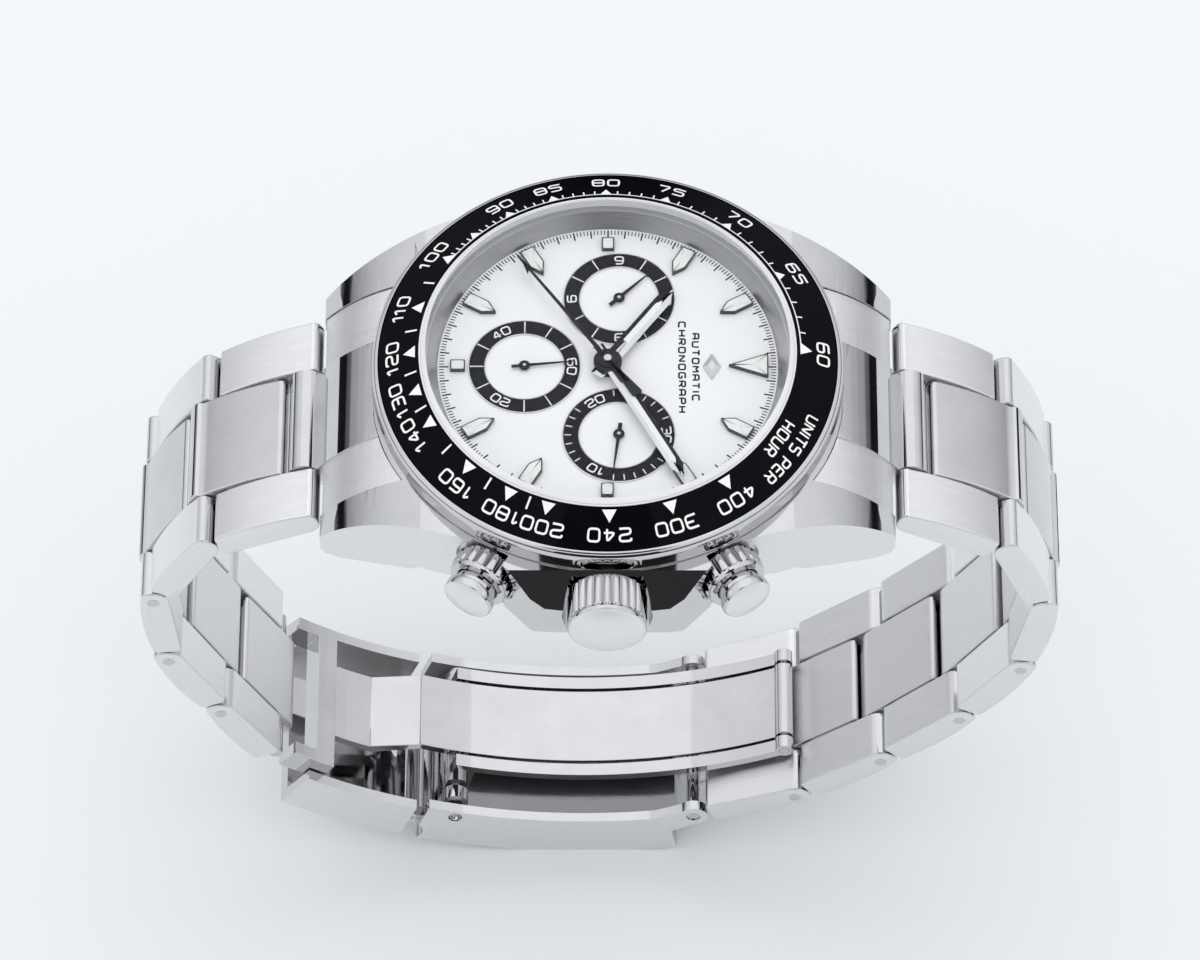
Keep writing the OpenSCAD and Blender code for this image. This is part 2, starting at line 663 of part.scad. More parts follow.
mid_case();
bezel_ring();
bezel_insert();
crystal();
crystal_gasket();
flange_ring();
dial();
hour_markers();
marker_lume();
subdial_rings();
dial_emblem();
hour_hand();
minute_hand();
chrono_seconds_hand();
small_seconds_hand();
counter_30_hand();
counter_12_hand();
case_back();
case_back_gasket();
movement_holder();
main_plate();
train_bridge();
barrel();
balance();
rotor();
winding_stem();
crown();
crown_tube();
pusher_tubes();
pusher_2();
pusher_4();
collar_2();
collar_4();
end_link_12();
end_link_6();
lug_spring_bars();
link_12_1();
link_12_2();
link_12_3();
link_12_4();
link_12_5();
link_12_6();
link_12_7();
link_6_1();
link_6_2();
link_6_3();
link_6_4();
link_6_5();
clasp_spring_bar();
clasp_cover();
cover_pin();
clasp_knuckle_pin();
flip_lock();
flip_pin();
blade_mid();
blade_inner();
blade_pin();
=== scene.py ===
# Looks of the chronograph wristwatch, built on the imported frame.
# Shapes are worked out in millimetres in the frame's own axes and become metres in make_piece():
# +X is 3 o'clock and the crown, +Y is 12 o'clock, +Z leaves the dial, and the clasp stands on z = 0.
import json
import math

import bmesh
import bpy
import numpy as np
from mathutils import Matrix, Vector


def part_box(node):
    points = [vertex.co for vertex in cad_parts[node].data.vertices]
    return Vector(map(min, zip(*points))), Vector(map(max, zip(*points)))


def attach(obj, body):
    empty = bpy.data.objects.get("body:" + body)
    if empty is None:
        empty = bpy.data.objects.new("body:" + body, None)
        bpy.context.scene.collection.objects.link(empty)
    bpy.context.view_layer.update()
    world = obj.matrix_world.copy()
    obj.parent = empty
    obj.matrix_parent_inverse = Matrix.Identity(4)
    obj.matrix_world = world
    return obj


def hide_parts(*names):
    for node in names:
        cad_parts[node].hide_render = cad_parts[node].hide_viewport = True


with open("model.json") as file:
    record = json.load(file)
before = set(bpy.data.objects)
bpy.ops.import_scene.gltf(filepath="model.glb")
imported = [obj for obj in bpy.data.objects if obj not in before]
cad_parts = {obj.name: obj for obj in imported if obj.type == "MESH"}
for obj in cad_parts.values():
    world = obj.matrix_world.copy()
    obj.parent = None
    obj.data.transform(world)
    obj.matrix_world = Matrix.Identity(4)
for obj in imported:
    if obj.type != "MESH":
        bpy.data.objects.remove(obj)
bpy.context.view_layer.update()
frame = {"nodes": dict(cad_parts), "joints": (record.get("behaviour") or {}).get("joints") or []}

nodes = frame["nodes"]
MM = 0.001


# ---------------------------------------------------------------- shapes
class Shape:
    """Points in millimetres with four- and three-sided faces; each face has the number of its finish."""

    def __init__(self, points, quads=(), tris=(), quad_finish=0, tri_finish=0):
        self.points = np.asarray(points, float).reshape(-1, 3)
        self.quads = np.asarray(quads, int).reshape(-1, 4)
        self.tris = np.asarray(tris, int).reshape(-1, 3)
        self.quad_finish = np.zeros(len(self.quads), int) + quad_finish
        self.tri_finish = np.zeros(len(self.tris), int) + tri_finish

    def __add__(self, other):
        shift = len(self.points)
        return Shape(
            np.vstack([self.points, other.points]),
            np.vstack([self.quads, other.quads + shift]),
            np.vstack([self.tris, other.tris + shift]),
            np.concatenate([self.quad_finish, other.quad_finish]),
            np.concatenate([self.tri_finish, other.tri_finish]),
        )

    def moved(self, rule):
        """The same faces with every point put through rule, which takes and gives whole arrays."""
        return Shape(rule(self.points), self.quads, self.tris, self.quad_finish, self.tri_finish)

    def finished(self, number):
        """The same faces, all with one finish."""
        return Shape(self.points, self.quads, self.tris, number, number)

    def welded(self):
        """Points that coincide become one, and a four-sided face that lost a corner becomes a triangle."""
        keys = np.round(self.points * 2e4).astype(np.int64)
        _, first, number = np.unique(keys, axis=0, return_index=True, return_inverse=True)
        number = number.reshape(-1)
        quads = number[self.quads]
        repeated = quads == np.roll(quads, -1, axis=1)
        whole = repeated.sum(axis=1) == 0
        short = repeated.sum(axis=1) == 1
        shortened = quads[short][~repeated[short]].reshape(-1, 3)
        tris = number[self.tris]
        sound = (tris != np.roll(tris, -1, axis=1)).all(axis=1)
        return Shape(
            self.points[first],
            quads[whole],
            np.vstack([tris[sound], shortened]),
            self.quad_finish[whole],
            np.concatenate([self.tri_finish[sound], self.quad_finish[short]]),
        )

    def outward(self):
        """Turns every face over if the enclosed volume, the sum of signed tetrahedra, comes out negative."""
        corners = np.vstack([self.tris, self.quads[:, [0, 1, 2]], self.quads[:, [0, 2, 3]]])
        a, b, c = (self.points[corners[:, k]] for k in range(3))
        if (a * np.cross(b, c)).sum() < 0:
            self.quads = self.quads[:, ::-1]
            self.tris = self.tris[:, ::-1]
        return self


def together(shapes):
    """Every shape in one, each turned outward first."""
    shapes = [s.welded().outward() for s in shapes]
    starts = np.cumsum([0] + [len(s.points) for s in shapes[:-1]])
    return Shape(
        np.vstack([s.points for s in shapes]),
        np.vstack([s.quads + k for s, k in zip(shapes, starts)]),
        np.vstack([s.tris + k for s, k in zip(shapes, starts)]),
        np.concatenate([s.quad_finish for s in shapes]),
        np.concatenate([s.tri_finish for s in shapes]),
    )


def skin(rows, ring=True, loop=False, finish=0, cap_finish=None):
    """Surface over rows of points. Row i joins row i + 1 point by point; with ring each row closes on
    itself, and with loop the last row joins the first. Otherwise both end rows close with a fan of
    triangles about their middle."""
    rows = np.asarray(rows, float)
    count, width, _ = rows.shape
    number = np.arange(count * width).reshape(count, width)
    along = np.vstack([number, number[:1]]) if loop else number
    over = np.hstack([along, along[:, :1]]) if ring else along
    quads = np.stack([over[:-1, :-1], over[:-1, 1:], over[1:, 1:], over[1:, :-1]], axis=-1).reshape(-1, 4)
    row_finish = np.repeat(np.zeros(len(over) - 1, int) + finish, over.shape[1] - 1)
    if loop or not ring:
        return Shape(rows, quads, (), row_finish)
    middles = rows[[0, -1]].mean(axis=1)
    low, high = count * width, count * width + 1
    first = np.stack([over[0, 1:], over[0, :-1], np.full(width, low)], axis=-1)
    last = np.stack([over[-1, :-1], over[-1, 1:], np.full(width, high)], axis=-1)
    caps = np.zeros(2 * width, int) + (row_finish[-1] if cap_finish is None else cap_finish)
    caps[:width] = row_finish[0]
    return Shape(np.vstack([rows.reshape(-1, 3), middles]), quads, np.vstack([first, last]), row_finish, caps)


def rounded(outline, radius, steps=4):
    """Closed outline with each corner P replaced by the curve (1-t)^2 A + 2t(1-t) P + t^2 B, where A and B
    lie the radius before and after P, or 45 % of the edge where it is short."""
    p = np.asarray(outline, float)
    back, ahead = np.roll(p, 1, axis=0) - p, np.roll(p, -1, axis=0) - p
    reach = np.zeros(len(p)) + radius
    lb, la = np.linalg.norm(back, axis=1), np.linalg.norm(ahead, axis=1)
    a = p + back / lb[:, None] * np.minimum(reach, 0.45 * lb)[:, None]
    b = p + ahead / la[:, None] * np.minimum(reach, 0.45 * la)[:, None]
    t = np.linspace(0, 1, steps + 1)[None, :, None]
    curve = (1 - t) ** 2 * a[:, None] + 2 * t * (1 - t) * p[:, None] + t**2 * b[:, None]
    return curve.reshape(-1, 2)


def inset(outline, distance):
    """Closed outline moved inward by the distance along the mitre of its two edge normals."""
    p = np.asarray(outline, float)
    edge = np.roll(p, -1, axis=0) - p
    area = (p[:, 0] * np.roll(p[:, 1], -1) - p[:, 1] * np.roll(p[:, 0], -1)).sum()
    normal = np.stack([-edge[:, 1], edge[:, 0]], axis=1) * (1 if area > 0 else -1)
    normal = normal / np.maximum(np.linalg.norm(normal, axis=1), 1e-9)[:, None]
    before = np.roll(normal, 1, axis=0)
    mitre = (normal + before) / np.maximum(1 + (normal * before).sum(axis=1), 0.35)[:, None]
    return p + mitre * distance


def arc(cx, cy, r, start, end, steps=12):
    """Points at angles from start to end, in degrees, on a circle."""
    a = np.radians(np.linspace(start, end, steps + 1))
    return np.stack([cx + r * np.cos(a), cy + r * np.sin(a)], axis=1)


def turned(profile, steps=192, finish=0):
    """Closed outline of radius and height pairs turned about the dial's axis: x = r sin a, y = r cos a."""
    p = np.asarray(profile, float)
    a = np.linspace(0, 2 * math.pi, steps, endpoint=False)[:, None]
    rows = np.stack([p[:, 0] * np.sin(a), p[:, 0] * np.cos(a), p[:, 1] + 0 * a], axis=-1)
    ring_finish = np.zeros(len(p), int) + finish
    return skin(np.swapaxes(rows, 0, 1), loop=True, finish=ring_finish)


def plate(outline, sections, cap_finish=None, finish=0):
    """Flat outline carried upward: each section is (inset, height), and both ends are closed."""
    rows = [np.column_stack([inset(outline, d), np.full(len(outline), h)]) for d, h in sections]
    return skin(rows, finish=finish, cap_finish=cap_finish)


def soft_edge(low, high, edge, steps=3):
    """Sections of a plate whose top edge rounds in: inset edge (1 - cos a), height high - edge (1 - sin
    a)."""
    a = np.radians(np.linspace(0, 90, steps + 1))
    return [(0, low), *zip(edge * (1 - np.cos(a)), high - edge * (1 - np.sin(a)))]


def clockwise(angle):
    """Rule that turns a shape drawn at 12 o'clock round to a dial angle in degrees."""
    c, s = math.cos(math.radians(angle)), math.sin(math.radians(angle))
    return lambda p: np.column_stack([p[:, 0] * c + p[:, 1] * s, p[:, 1] * c - p[:, 0] * s, p[:, 2]])


def shift(x=0.0, y=0.0, z=0.0):
    """Rule that adds the same step to every point."""
    return lambda p: p + np.array([x, y, z])


# ---------------------------------------------------------------- stroke lettering
def stroke_letters():
    """Wide squarish letters as centre lines in a box one high and one wide; True marks a closed line."""
    box = [(0, 0), (1, 0), (1, 1), (0, 1)]
    return {
        "0": [(box, True)],
        "1": [([(0.1, 0.72), (0.5, 1), (0.5, 0)], False)],
        "2": [([(0, 0.78), (0, 1), (1, 1), (1, 0.52), (0, 0.44), (0, 0), (1, 0)], False)],
        "3": [([(0, 1), (1, 1), (1, 0), (0, 0)], False), ([(0.3, 0.52), (1, 0.52)], False)],
        "4": [([(0.72, 0), (0.72, 1), (0, 0.3), (1, 0.3)], False)],
        "5": [([(1, 1), (0, 1), (0, 0.58), (1, 0.58), (1, 0), (0, 0)], False)],
        "6": [([(0.95, 1), (0, 1), (0, 0), (1, 0), (1, 0.58), (0.05, 0.58)], False)],
        "7": [([(0, 1), (1, 1), (0.4, 0)], False)],
        "8": [(box, True), ([(0.05, 0.52), (0.95, 0.52)], False)],
        "9": [([(0.05, 0), (1, 0), (1, 1), (0, 1), (0, 0.44), (0.95, 0.44)], False)],
        "A": [([(0, 0), (0, 1), (1, 1), (1, 0)], False), ([(0, 0.4), (1, 0.4)], False)],
        "C": [([(1, 1), (0, 1), (0, 0), (1, 0)], False)],
        "E": [([(1, 1), (0, 1), (0, 0), (1, 0)], False), ([(0, 0.52), (0.9, 0.52)], False)],
        "G": [([(1, 1), (0, 1), (0, 0), (1, 0), (1, 0.48), (0.55, 0.48)], False)],
        "H": [([(0, 0), (0, 1)], False), ([(1, 0), (1, 1)], False), ([(0, 0.5), (1, 0.5)], False)],
        "I": [([(0.5, 0), (0.5, 1)], False)],
        "M": [([(0, 0), (0, 1), (0.5, 0.45), (1, 1), (1, 0)], False)],
        "N": [([(0, 0), (0, 1), (1, 0), (1, 1)], False)],
        "O": [(box, True)],
        "P": [([(0, 0), (0, 1), (1, 1), (1, 0.42), (0, 0.42)], False)],
        "R": [([(0, 0), (0, 1), (1, 1), (1, 0.45), (0, 0.45)], False), ([(0.5, 0.45), (1, 0)], False)],
        "S": [([(1, 1), (0, 1), (0, 0.54), (1, 0.54), (1, 0), (0, 0)], False)],
        "T": [([(0, 1), (1, 1)], False), ([(0.5, 1), (0.5, 0)], False)],
        "U": [([(0, 1), (0, 0), (1, 0), (1, 1)], False)],
    }


LETTERS = stroke_letters()
NARROW = {"1": 0.42, "I": 0.12, " ": 0.5}


def strip(line, closed, width, thick):
    """Raised line of printing: a flat section of the width and thickness carried along the centre line."""
    p = np.asarray(line, float)
    ahead = np.roll(p, -1, axis=0) - p
    if not closed:
        ahead[-1] = ahead[-2]
    ahead = ahead / np.linalg.norm(ahead, axis=1)[:, None]
    behind = np.roll(ahead, 1, axis=0)
    if not closed:
        behind[0] = ahead[0]
    mean = ahead + behind
    side = np.stack([-mean[:, 1], mean[:, 0]], axis=1)
    side = side / np.maximum(1 + (ahead * behind).sum(axis=1), 0.5)[:, None] * width / 2
    low, high = np.zeros(len(p)), np.full(len(p), thick)
    left, right = p + side, p - side
    rows = np.stack([np.column_stack(e) for e in ((left, low), (right, low), (right, high), (left, high))],
                    axis=1)
    return skin(rows, loop=closed)


def softened(line, closed, radius):
    """Centre line with its inner corners rounded."""
    p = np.asarray(line, float)
    if closed:
        return rounded(p, radius, 4)
    curve = rounded(p, radius, 4).reshape(len(p), 5, 2)[1:-1].reshape(-1, 2)
    return np.vstack([p[:1], curve, p[-1:]])


def lettering(text, height, width, stroke, gap, thick=0.02):
    """Words or figures centred on the origin, x to the right and y up."""
    box_h, box_w = height - stroke, width - stroke
    made, x = [], 0.0
    for letter in text:
        room = NARROW.get(letter, 1.0) * box_w
        for line, closed in LETTERS.get(letter, []):
            p = np.asarray(line, float)
            start = x - (0.5 * box_w - room / 2 if letter in NARROW else 0)
            p = np.column_stack([start + p[:, 0] * box_w, p[:, 1] * box_h])
            made.append(strip(softened(p, closed, 0.3 * min(box_h, box_w)), closed, stroke, thick))
        x += room + stroke + gap
    return together(made).moved(shift(-(x - gap - stroke) / 2, -box_h / 2))


# ---------------------------------------------------------------- finishes
class Wire:
    """A node's output. Arithmetic on it adds Math nodes; add() makes any other node in the same tree."""

    def __init__(self, tree, output):
        self.tree = tree
        self.output = output

    def add(self, kind, settings=None, sockets=None, out=0):
        made = self.tree.nodes.new(kind)
        for name, value in (settings or {}).items():
            if name == "stops":
                while len(made.color_ramp.elements) < len(value):
                    made.color_ramp.elements.new(1.0)
                for element, (place, tone) in zip(made.color_ramp.elements, value):
                    element.position = place
                    element.color = (tone, tone, tone, 1) if isinstance(tone, float) else (*tone, 1)
            else:
                setattr(made, name, value)
        for name, value in (sockets or {}).items():
            if isinstance(value, Wire):
                self.tree.links.new(value.output, made.inputs[name])
            else:
                made.inputs[name].default_value = value
        return Wire(self.tree, made.outputs[out]) if len(made.outputs) else None

    def sum_of(self, operation, a, b):
        return self.add("ShaderNodeMath", {"operation": operation}, {0: a, 1: b})

    def __add__(self, other):
        return self.sum_of("ADD", self, other)

    def __radd__(self, other):
        return self.sum_of("ADD", other, self)

    def __sub__(self, other):
        return self.sum_of("SUBTRACT", self, other)

    def __rsub__(self, other):
        return self.sum_of("SUBTRACT", other, self)

    def __mul__(self, other):
        return self.sum_of("MULTIPLY", self, other)

    def __rmul__(self, other):
        return self.sum_of("MULTIPLY", other, self)

    def noise(self, scale, detail=3.0, stretch=(1, 1, 1)):
        """Noise read along this vector after stretching it, as a number from 0 to 1."""
        place = self.add("ShaderNodeMapping", {}, {"Vector": self, "Scale": stretch})
        sockets = {"Vector": place, "Scale": scale, "Detail": detail, "Roughness": 0.6}
        return self.add("ShaderNodeTexNoise", {}, sockets)

    def ramp(self, stops):
        """Colour ramp read at this value."""
        return self.add("ShaderNodeValToRGB", {"stops": stops}, {"Fac": self})

    def blend(self, first, second):
        """Colour mix of first and second by this value."""
        settings = {"data_type": "RGBA"}
        return self.add("ShaderNodeMix", settings, {"Factor": self, 6: (*first, 1), 7: (*second, 1)}, out=2)

    def bump(self, strength, depth):
        """Bumped normal from this height."""
        sockets = {"Height": self, "Strength": strength, "Distance": depth}
        return self.add("ShaderNodeBump", {}, sockets)


def begin(name, source="Object"):
    """New material with the wire it is patterned from: Object coordinates, or the piece's own grain map."""
    made = bpy.data.materials.new(name)
    made.use_nodes = True
    tree = made.node_tree
    tree.nodes.clear()
    if source == "grain":
        uv = tree.nodes.new("ShaderNodeUVMap")
        uv.uv_map = "grain"
        return made, Wire(tree, uv.outputs[0])
    coordinates = tree.nodes.new("ShaderNodeTexCoord")
    return made, Wire(tree, coordinates.outputs[source])


def end(made, wire, sockets):
    """Closes a material with one Principled shader."""
    shader = wire.add("ShaderNodeBsdfPrincipled", {}, sockets)
    wire.add("ShaderNodeOutputMaterial", {}, {"Surface": shader})
    return made


def brushed_finish(name, dark, light, rough, depth=0.000004, along=0.22):
    """Satin steel: streaks about a tenth and a twentieth of a millimetre wide, several millimetres long."""
    made, grain = begin(name, "grain")
    broad = grain.noise(1.0, 2.0, (5.0, along, 1))
    fine = grain.noise(1.0, 3.0, (17.0, along * 3, 1))
    streak = 0.5 * broad + 0.5 * fine
    wear = grain.noise(0.35, 2.0)
    sockets = {
        "Base Color": streak.blend(dark, light),
        "Metallic": 1.0,
        "Roughness": rough - 0.08 + 0.14 * streak + 0.04 * wear,
        "Normal": streak.bump(0.35, depth),
    }
    return end(made, grain, sockets)


def polished_finish(name, tone, rough=0.05, bright=(0.9, 0.9, 0.9)):
    """Mirror steel with faint handling marks: soft clouds in the gloss and hairlines a few hundredths
    wide."""
    made, place = begin(name)
    clouds = place.noise(260.0, 3.0)
    hair = place.noise(900.0, 4.0, (9, 1, 1)).ramp([(0.56, 0.0), (0.7, 1.0)])
    sockets = {
        "Base Color": clouds.blend(tone, bright),
        "Metallic": 1.0,
        "Roughness": rough - 0.02 + 0.03 * clouds + 0.03 * hair,
        "Normal": hair.bump(0.08, 0.000002),
    }
    return end(made, place, sockets)


def ceramic_finish():
    """Black glazed ceramic, with fine clouds in the gloss."""
    made, place = begin("black_ceramic_glaze")
    clouds = place.noise(400.0, 4.0)
    grain = place.noise(6000.0, 2.0)
    sockets = {
        "Base Color": clouds.blend((0.002, 0.002, 0.003), (0.004, 0.004, 0.007)),
        "Roughness": 0.035 + 0.05 * clouds,
        "IOR": 1.12,
        "Normal": grain.bump(0.03, 0.000002),
    }
    return end(made, place, sockets)


LACQUER_IOR, INK_IOR = 1.5, 1.15    # dark ink on the dial shows almost no gloss
DARK_TONE = 0.2


def lacquer_finish(name, low, high, rough, grain_scale=3000.0, coat=0.4):
    """Sprayed lacquer: a slow drift in tone and a fine orange peel."""
    made, place = begin(name)
    drift = place.noise(120.0, 2.0)
    peel = place.noise(grain_scale, 3.0)
    sockets = {
        "Base Color": drift.blend(low, high),
        "Roughness": rough - 0.05 + 0.1 * peel,
        "Coat Roughness": 0.06,
        "IOR": LACQUER_IOR if high[0] > DARK_TONE else INK_IOR,
        "Coat Weight": coat * drift,
        "Normal": peel.bump(0.08, 0.000004),
    }
    return end(made, place, sockets)


def metal_finish(name, low, high, rough, scale=1500.0):
    """Plain machined metal with a fine even texture."""
    made, place = begin(name)
    texture = place.noise(scale, 4.0)
    rings = place.noise(scale * 3, 2.0)
    sockets = {
        "Base Color": texture.blend(low, high),
        "Metallic": 1.0,
        "Roughness": rough - 0.06 + 0.16 * rings,
        "Normal": rings.bump(0.15, 0.000004),
    }
    return end(made, place, sockets)


def glass_finish():
    """Clear sapphire: lets light straight through, with a weak mirror that grows towards the edge on view."""
    made, place = begin("sapphire_clear")
    smear = place.noise(180.0, 3.0)
    gloss = place.add("ShaderNodeFresnel", {}, {"IOR": 1.32})
    clear = place.add("ShaderNodeBsdfTransparent", {}, {"Color": (0.995, 0.997, 1.0, 1)})
    mirror = place.add("ShaderNodeBsdfPrincipled", {}, {
        "Base Color": (0.95, 0.97, 1.0, 1), "Metallic": 1.0, "Roughness": 0.01 + 0.02 * smear,
    })
    mixed = place.add("ShaderNodeMixShader", {}, {"Fac": gloss * 0.25, 1: clear, 2: mirror})
    place.add("ShaderNodeOutputMaterial", {}, {"Surface": mixed})
    return made


POLISHED = polished_finish("polished_steel_mirror", (0.54, 0.54, 0.55), 0.05, (0.66, 0.66, 0.67))
BRUSHED = brushed_finish("brushed_steel_satin", (0.68, 0.68, 0.685), (0.97, 0.97, 0.97), 0.36)
SATIN_SIDE = brushed_finish("brushed_steel_side", (0.68, 0.68, 0.685), (0.86, 0.86, 0.86), 0.42)
SATIN_DOME = brushed_finish("brushed_steel_dome", (0.7, 0.7, 0.7), (0.84, 0.84, 0.84), 0.34)
REHAUT = brushed_finish("brushed_steel_flange", (0.42, 0.42, 0.42), (0.7, 0.7, 0.7), 0.34)
CERAMIC = ceramic_finish()
DIAL_WHITE = lacquer_finish("white_dial_lacquer", (0.9, 0.905, 0.91), (0.94, 0.945, 0.95), 0.3)
LUME = lacquer_finish("lume_compound", (0.84, 0.85, 0.83), (0.93, 0.94, 0.91), 0.55, 9000.0, 0.0)
# Marker frames: polished steel coloured near black, a painted dark reflection on the frames' facets.
MARKER_FRAME_PAINTED_DARK = polished_finish("marker_frame_painted_reflection", (0.04, 0.04, 0.045), 0.12, (0.12, 0.12, 0.125))
BLACK_PRINT = lacquer_finish("black_print_ink", (0.008, 0.008, 0.009), (0.016, 0.016, 0.018), 0.35, 5000.0,
                             0.1)
WHITE_PRINT = lacquer_finish("white_print_ink", (0.86, 0.86, 0.86), (0.93, 0.93, 0.93), 0.4, 5000.0, 0.1)
NYLON = lacquer_finish("white_nylon_ring", (0.8, 0.8, 0.79), (0.88, 0.88, 0.87), 0.45, 4000.0, 0.0)
RUBBER = lacquer_finish("black_rubber", (0.012, 0.012, 0.012), (0.03, 0.03, 0.03), 0.6, 5000.0, 0.0)
BRASS = metal_finish("movement_brass_grained", (0.62, 0.46, 0.2), (0.82, 0.64, 0.34), 0.34)
PLATED = metal_finish("movement_steel_grained", (0.5, 0.5, 0.5), (0.72, 0.72, 0.72), 0.34)
SAPPHIRE = glass_finish()
HAND_STEEL = polished_finish("hand_light_polish", (0.5, 0.5, 0.51), 0.1, (0.7, 0.7, 0.71))
# Dark polished hand finish: the sweep hand, the sub-dial needles and the hubs, and also the painted dark
# reflection on the left facet of the baton blades.
DARK_HAND_AND_FACET_SHADE = polished_finish("hand_dark_polish_and_painted_facet_shade", (0.015, 0.015, 0.017), 0.16, (0.04, 0.04, 0.045))
# Crystal rim: opaque light grey, a painted highlight of the sapphire's bright edge.
CRYSTAL_RIM_HIGHLIGHT = lacquer_finish("sapphire_rim_painted_highlight", (0.72, 0.73, 0.75), (0.86, 0.87, 0.89), 0.25, 3000.0,
                              0.3)


# ---------------------------------------------------------------- pieces
def lay_grain(mesh, along, across_hint=(1.0, 0.0, 0.0)):
    """Grain map in millimetres. Each face corner's place is measured along the brushing direction and,
    across it, along whichever of the other two local axes lies in the face. along is one direction, or
    one for each face."""
    faces = len(mesh.polygons)
    corners = len(mesh.loops)
    normal = np.empty(faces * 3)
    mesh.polygons.foreach_get("normal", normal)
    normal = normal.reshape(-1, 3)
    size = np.empty(faces, int)
    mesh.polygons.foreach_get("loop_total", size)
    vertex = np.empty(corners, int)
    mesh.loops.foreach_get("vertex_index", vertex)
    points = np.empty(len(mesh.vertices) * 3)
    mesh.vertices.foreach_get("co", points)
    points = points.reshape(-1, 3)[vertex] / MM
    face_of = np.repeat(np.arange(faces), size)
    run = np.broadcast_to(np.asarray(along, float), (faces, 3))
    width = np.broadcast_to(np.asarray(across_hint, float), (faces, 3))
    third = np.cross(run, width)
    sideways = np.abs((normal * width).sum(axis=1)) > 0.7
    endways = np.abs((normal * run).sum(axis=1)) > 0.8
    across = np.where(sideways[:, None], third, width)
    lengthways = np.where(endways[:, None], third, run)
    u = (points * across[face_of]).sum(axis=1)
    v = (points * lengthways[face_of]).sum(axis=1)
    layer = mesh.uv_layers.new(name="grain")
    layer.data.foreach_set("uv", np.column_stack([u, v]).astype(np.float32).ravel())


def finish_mesh(piece, angle):
    """Smooth shading that keeps edges sharper than the angle, weighted towards the larger faces."""
    piece.data.shade_smooth()
    piece.data.set_sharp_from_angle(angle=math.radians(angle))
    weighted = piece.modifiers.new("even_shading", "WEIGHTED_NORMAL")
    weighted.keep_sharp = True


def make_piece(name, shape, body, finishes, replaces=(), along=(0, 1, 0), angle=38):
    """A shape in millimetres becomes a piece in metres that rides on a body. finishes are its materials,
    picked by the shape's finish numbers."""
    mesh = bpy.data.meshes.new(name)
    mesh.vertices.add(len(shape.points))
    mesh.vertices.foreach_set("co", (shape.points * MM).astype(np.float32).ravel())
    corners = np.concatenate([shape.quads.ravel(), shape.tris.ravel()])
    sizes = np.concatenate([np.full(len(shape.quads), 4), np.full(len(shape.tris), 3)])
    mesh.loops.add(len(corners))
    mesh.loops.foreach_set("vertex_index", corners.astype(np.int32))
    mesh.polygons.add(len(sizes))
    mesh.polygons.foreach_set("loop_start", (np.cumsum(sizes) - sizes).astype(np.int32))
    mesh.polygons.foreach_set("loop_total", sizes.astype(np.int32))
    numbers = np.concatenate([shape.quad_finish, shape.tri_finish]).astype(np.int32)
    mesh.polygons.foreach_set("material_index", numbers)
    mesh.update(calc_edges=True)
    mesh.validate()
    lay_grain(mesh, along)
    for finish in finishes:
        mesh.materials.append(finish)
    piece = bpy.data.objects.new(name, mesh)
    bpy.context.scene.collection.objects.link(piece)
    finish_mesh(piece, angle)
    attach(piece, body)
    if replaces:
        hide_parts(*replaces)
    return piece


def paint_node(name, finish):
    """Gives a carried-over node its finish."""
    slots = nodes[name].data.materials
    slots.clear()
    slots.append(finish)


# ---------------------------------------------------------------- sizes
def packed_axis(joint_name):
    """A joint's point in millimetres and its direction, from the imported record."""
    joint = next(j for j in frame["joints"] if j["name"] == joint_name)
    return np.array(joint.get("pos_m", (0, 0, 0))) / MM, np.array(joint["axis"], float)


def span(node):
    """Lowest and highest corners of a node in millimetres."""
    low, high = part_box(node)
    return np.array(low) / MM, np.array(high) / MM


DIAL_Z = span("dial")[1][2]
INSERT_IN_R, INSERT_OUT_R = 15.92, 19.3
INSERT_TOP, INSERT_LOW = DIAL_Z + 2.6, DIAL_Z + 0.95
INSERT_T = 0.72
CRYSTAL_R = span("crystal")[1][0]
CRYSTAL_LOW, CRYSTAL_TOP = span("crystal")[0][2], span("crystal")[1][2]
CASE_R = 19.9
DIAL_R = 14.3
SUBDIALS = {"seconds": (0.0, -7.0), "counter_30": (7.0, 0.95), "counter_12": (-7.0, 0.95)}
RING_OUT, RING_IN = 4.65, 3.4


# ---------------------------------------------------------------- bezel, crystal and flange
def build_bezel():
    """Polished ring, the conical ceramic plate it carries, and the white speed scale printed on the plate."""
    edge = CASE_R - 0.02
    base = DIAL_Z - 1.1
    seat_r = INSERT_OUT_R + 0.04
    ring = rounded([(15.88, base), (edge - 0.1, base), (edge, base + 0.12), (edge, DIAL_Z + 0.42),
                    (edge - 0.22, DIAL_Z + 0.86), (seat_r, DIAL_Z + 1.0), (seat_r, DIAL_Z + 0.19),
                    (15.88, INSERT_TOP - INSERT_T - 0.04)], [0, 0.08, 0.08, 0.25, 0.16, 0.05, 0, 0], 5)
    make_piece("bezel_rim", turned(ring).welded().outward(), "head", [POLISHED],
               ["bezel_ring"])
    cone = rounded([(INSERT_IN_R, INSERT_TOP), (INSERT_OUT_R, INSERT_LOW),
                    (INSERT_OUT_R, INSERT_LOW - INSERT_T),
                    (INSERT_IN_R, INSERT_TOP - INSERT_T)], [0.12, 0.1, 0, 0], 4)
    make_piece("bezel_plate", turned(cone).welded().outward(), "head", [CERAMIC],
               ["bezel_insert"])
    make_piece("bezel_scale", speed_scale(), "head", [WHITE_PRINT])


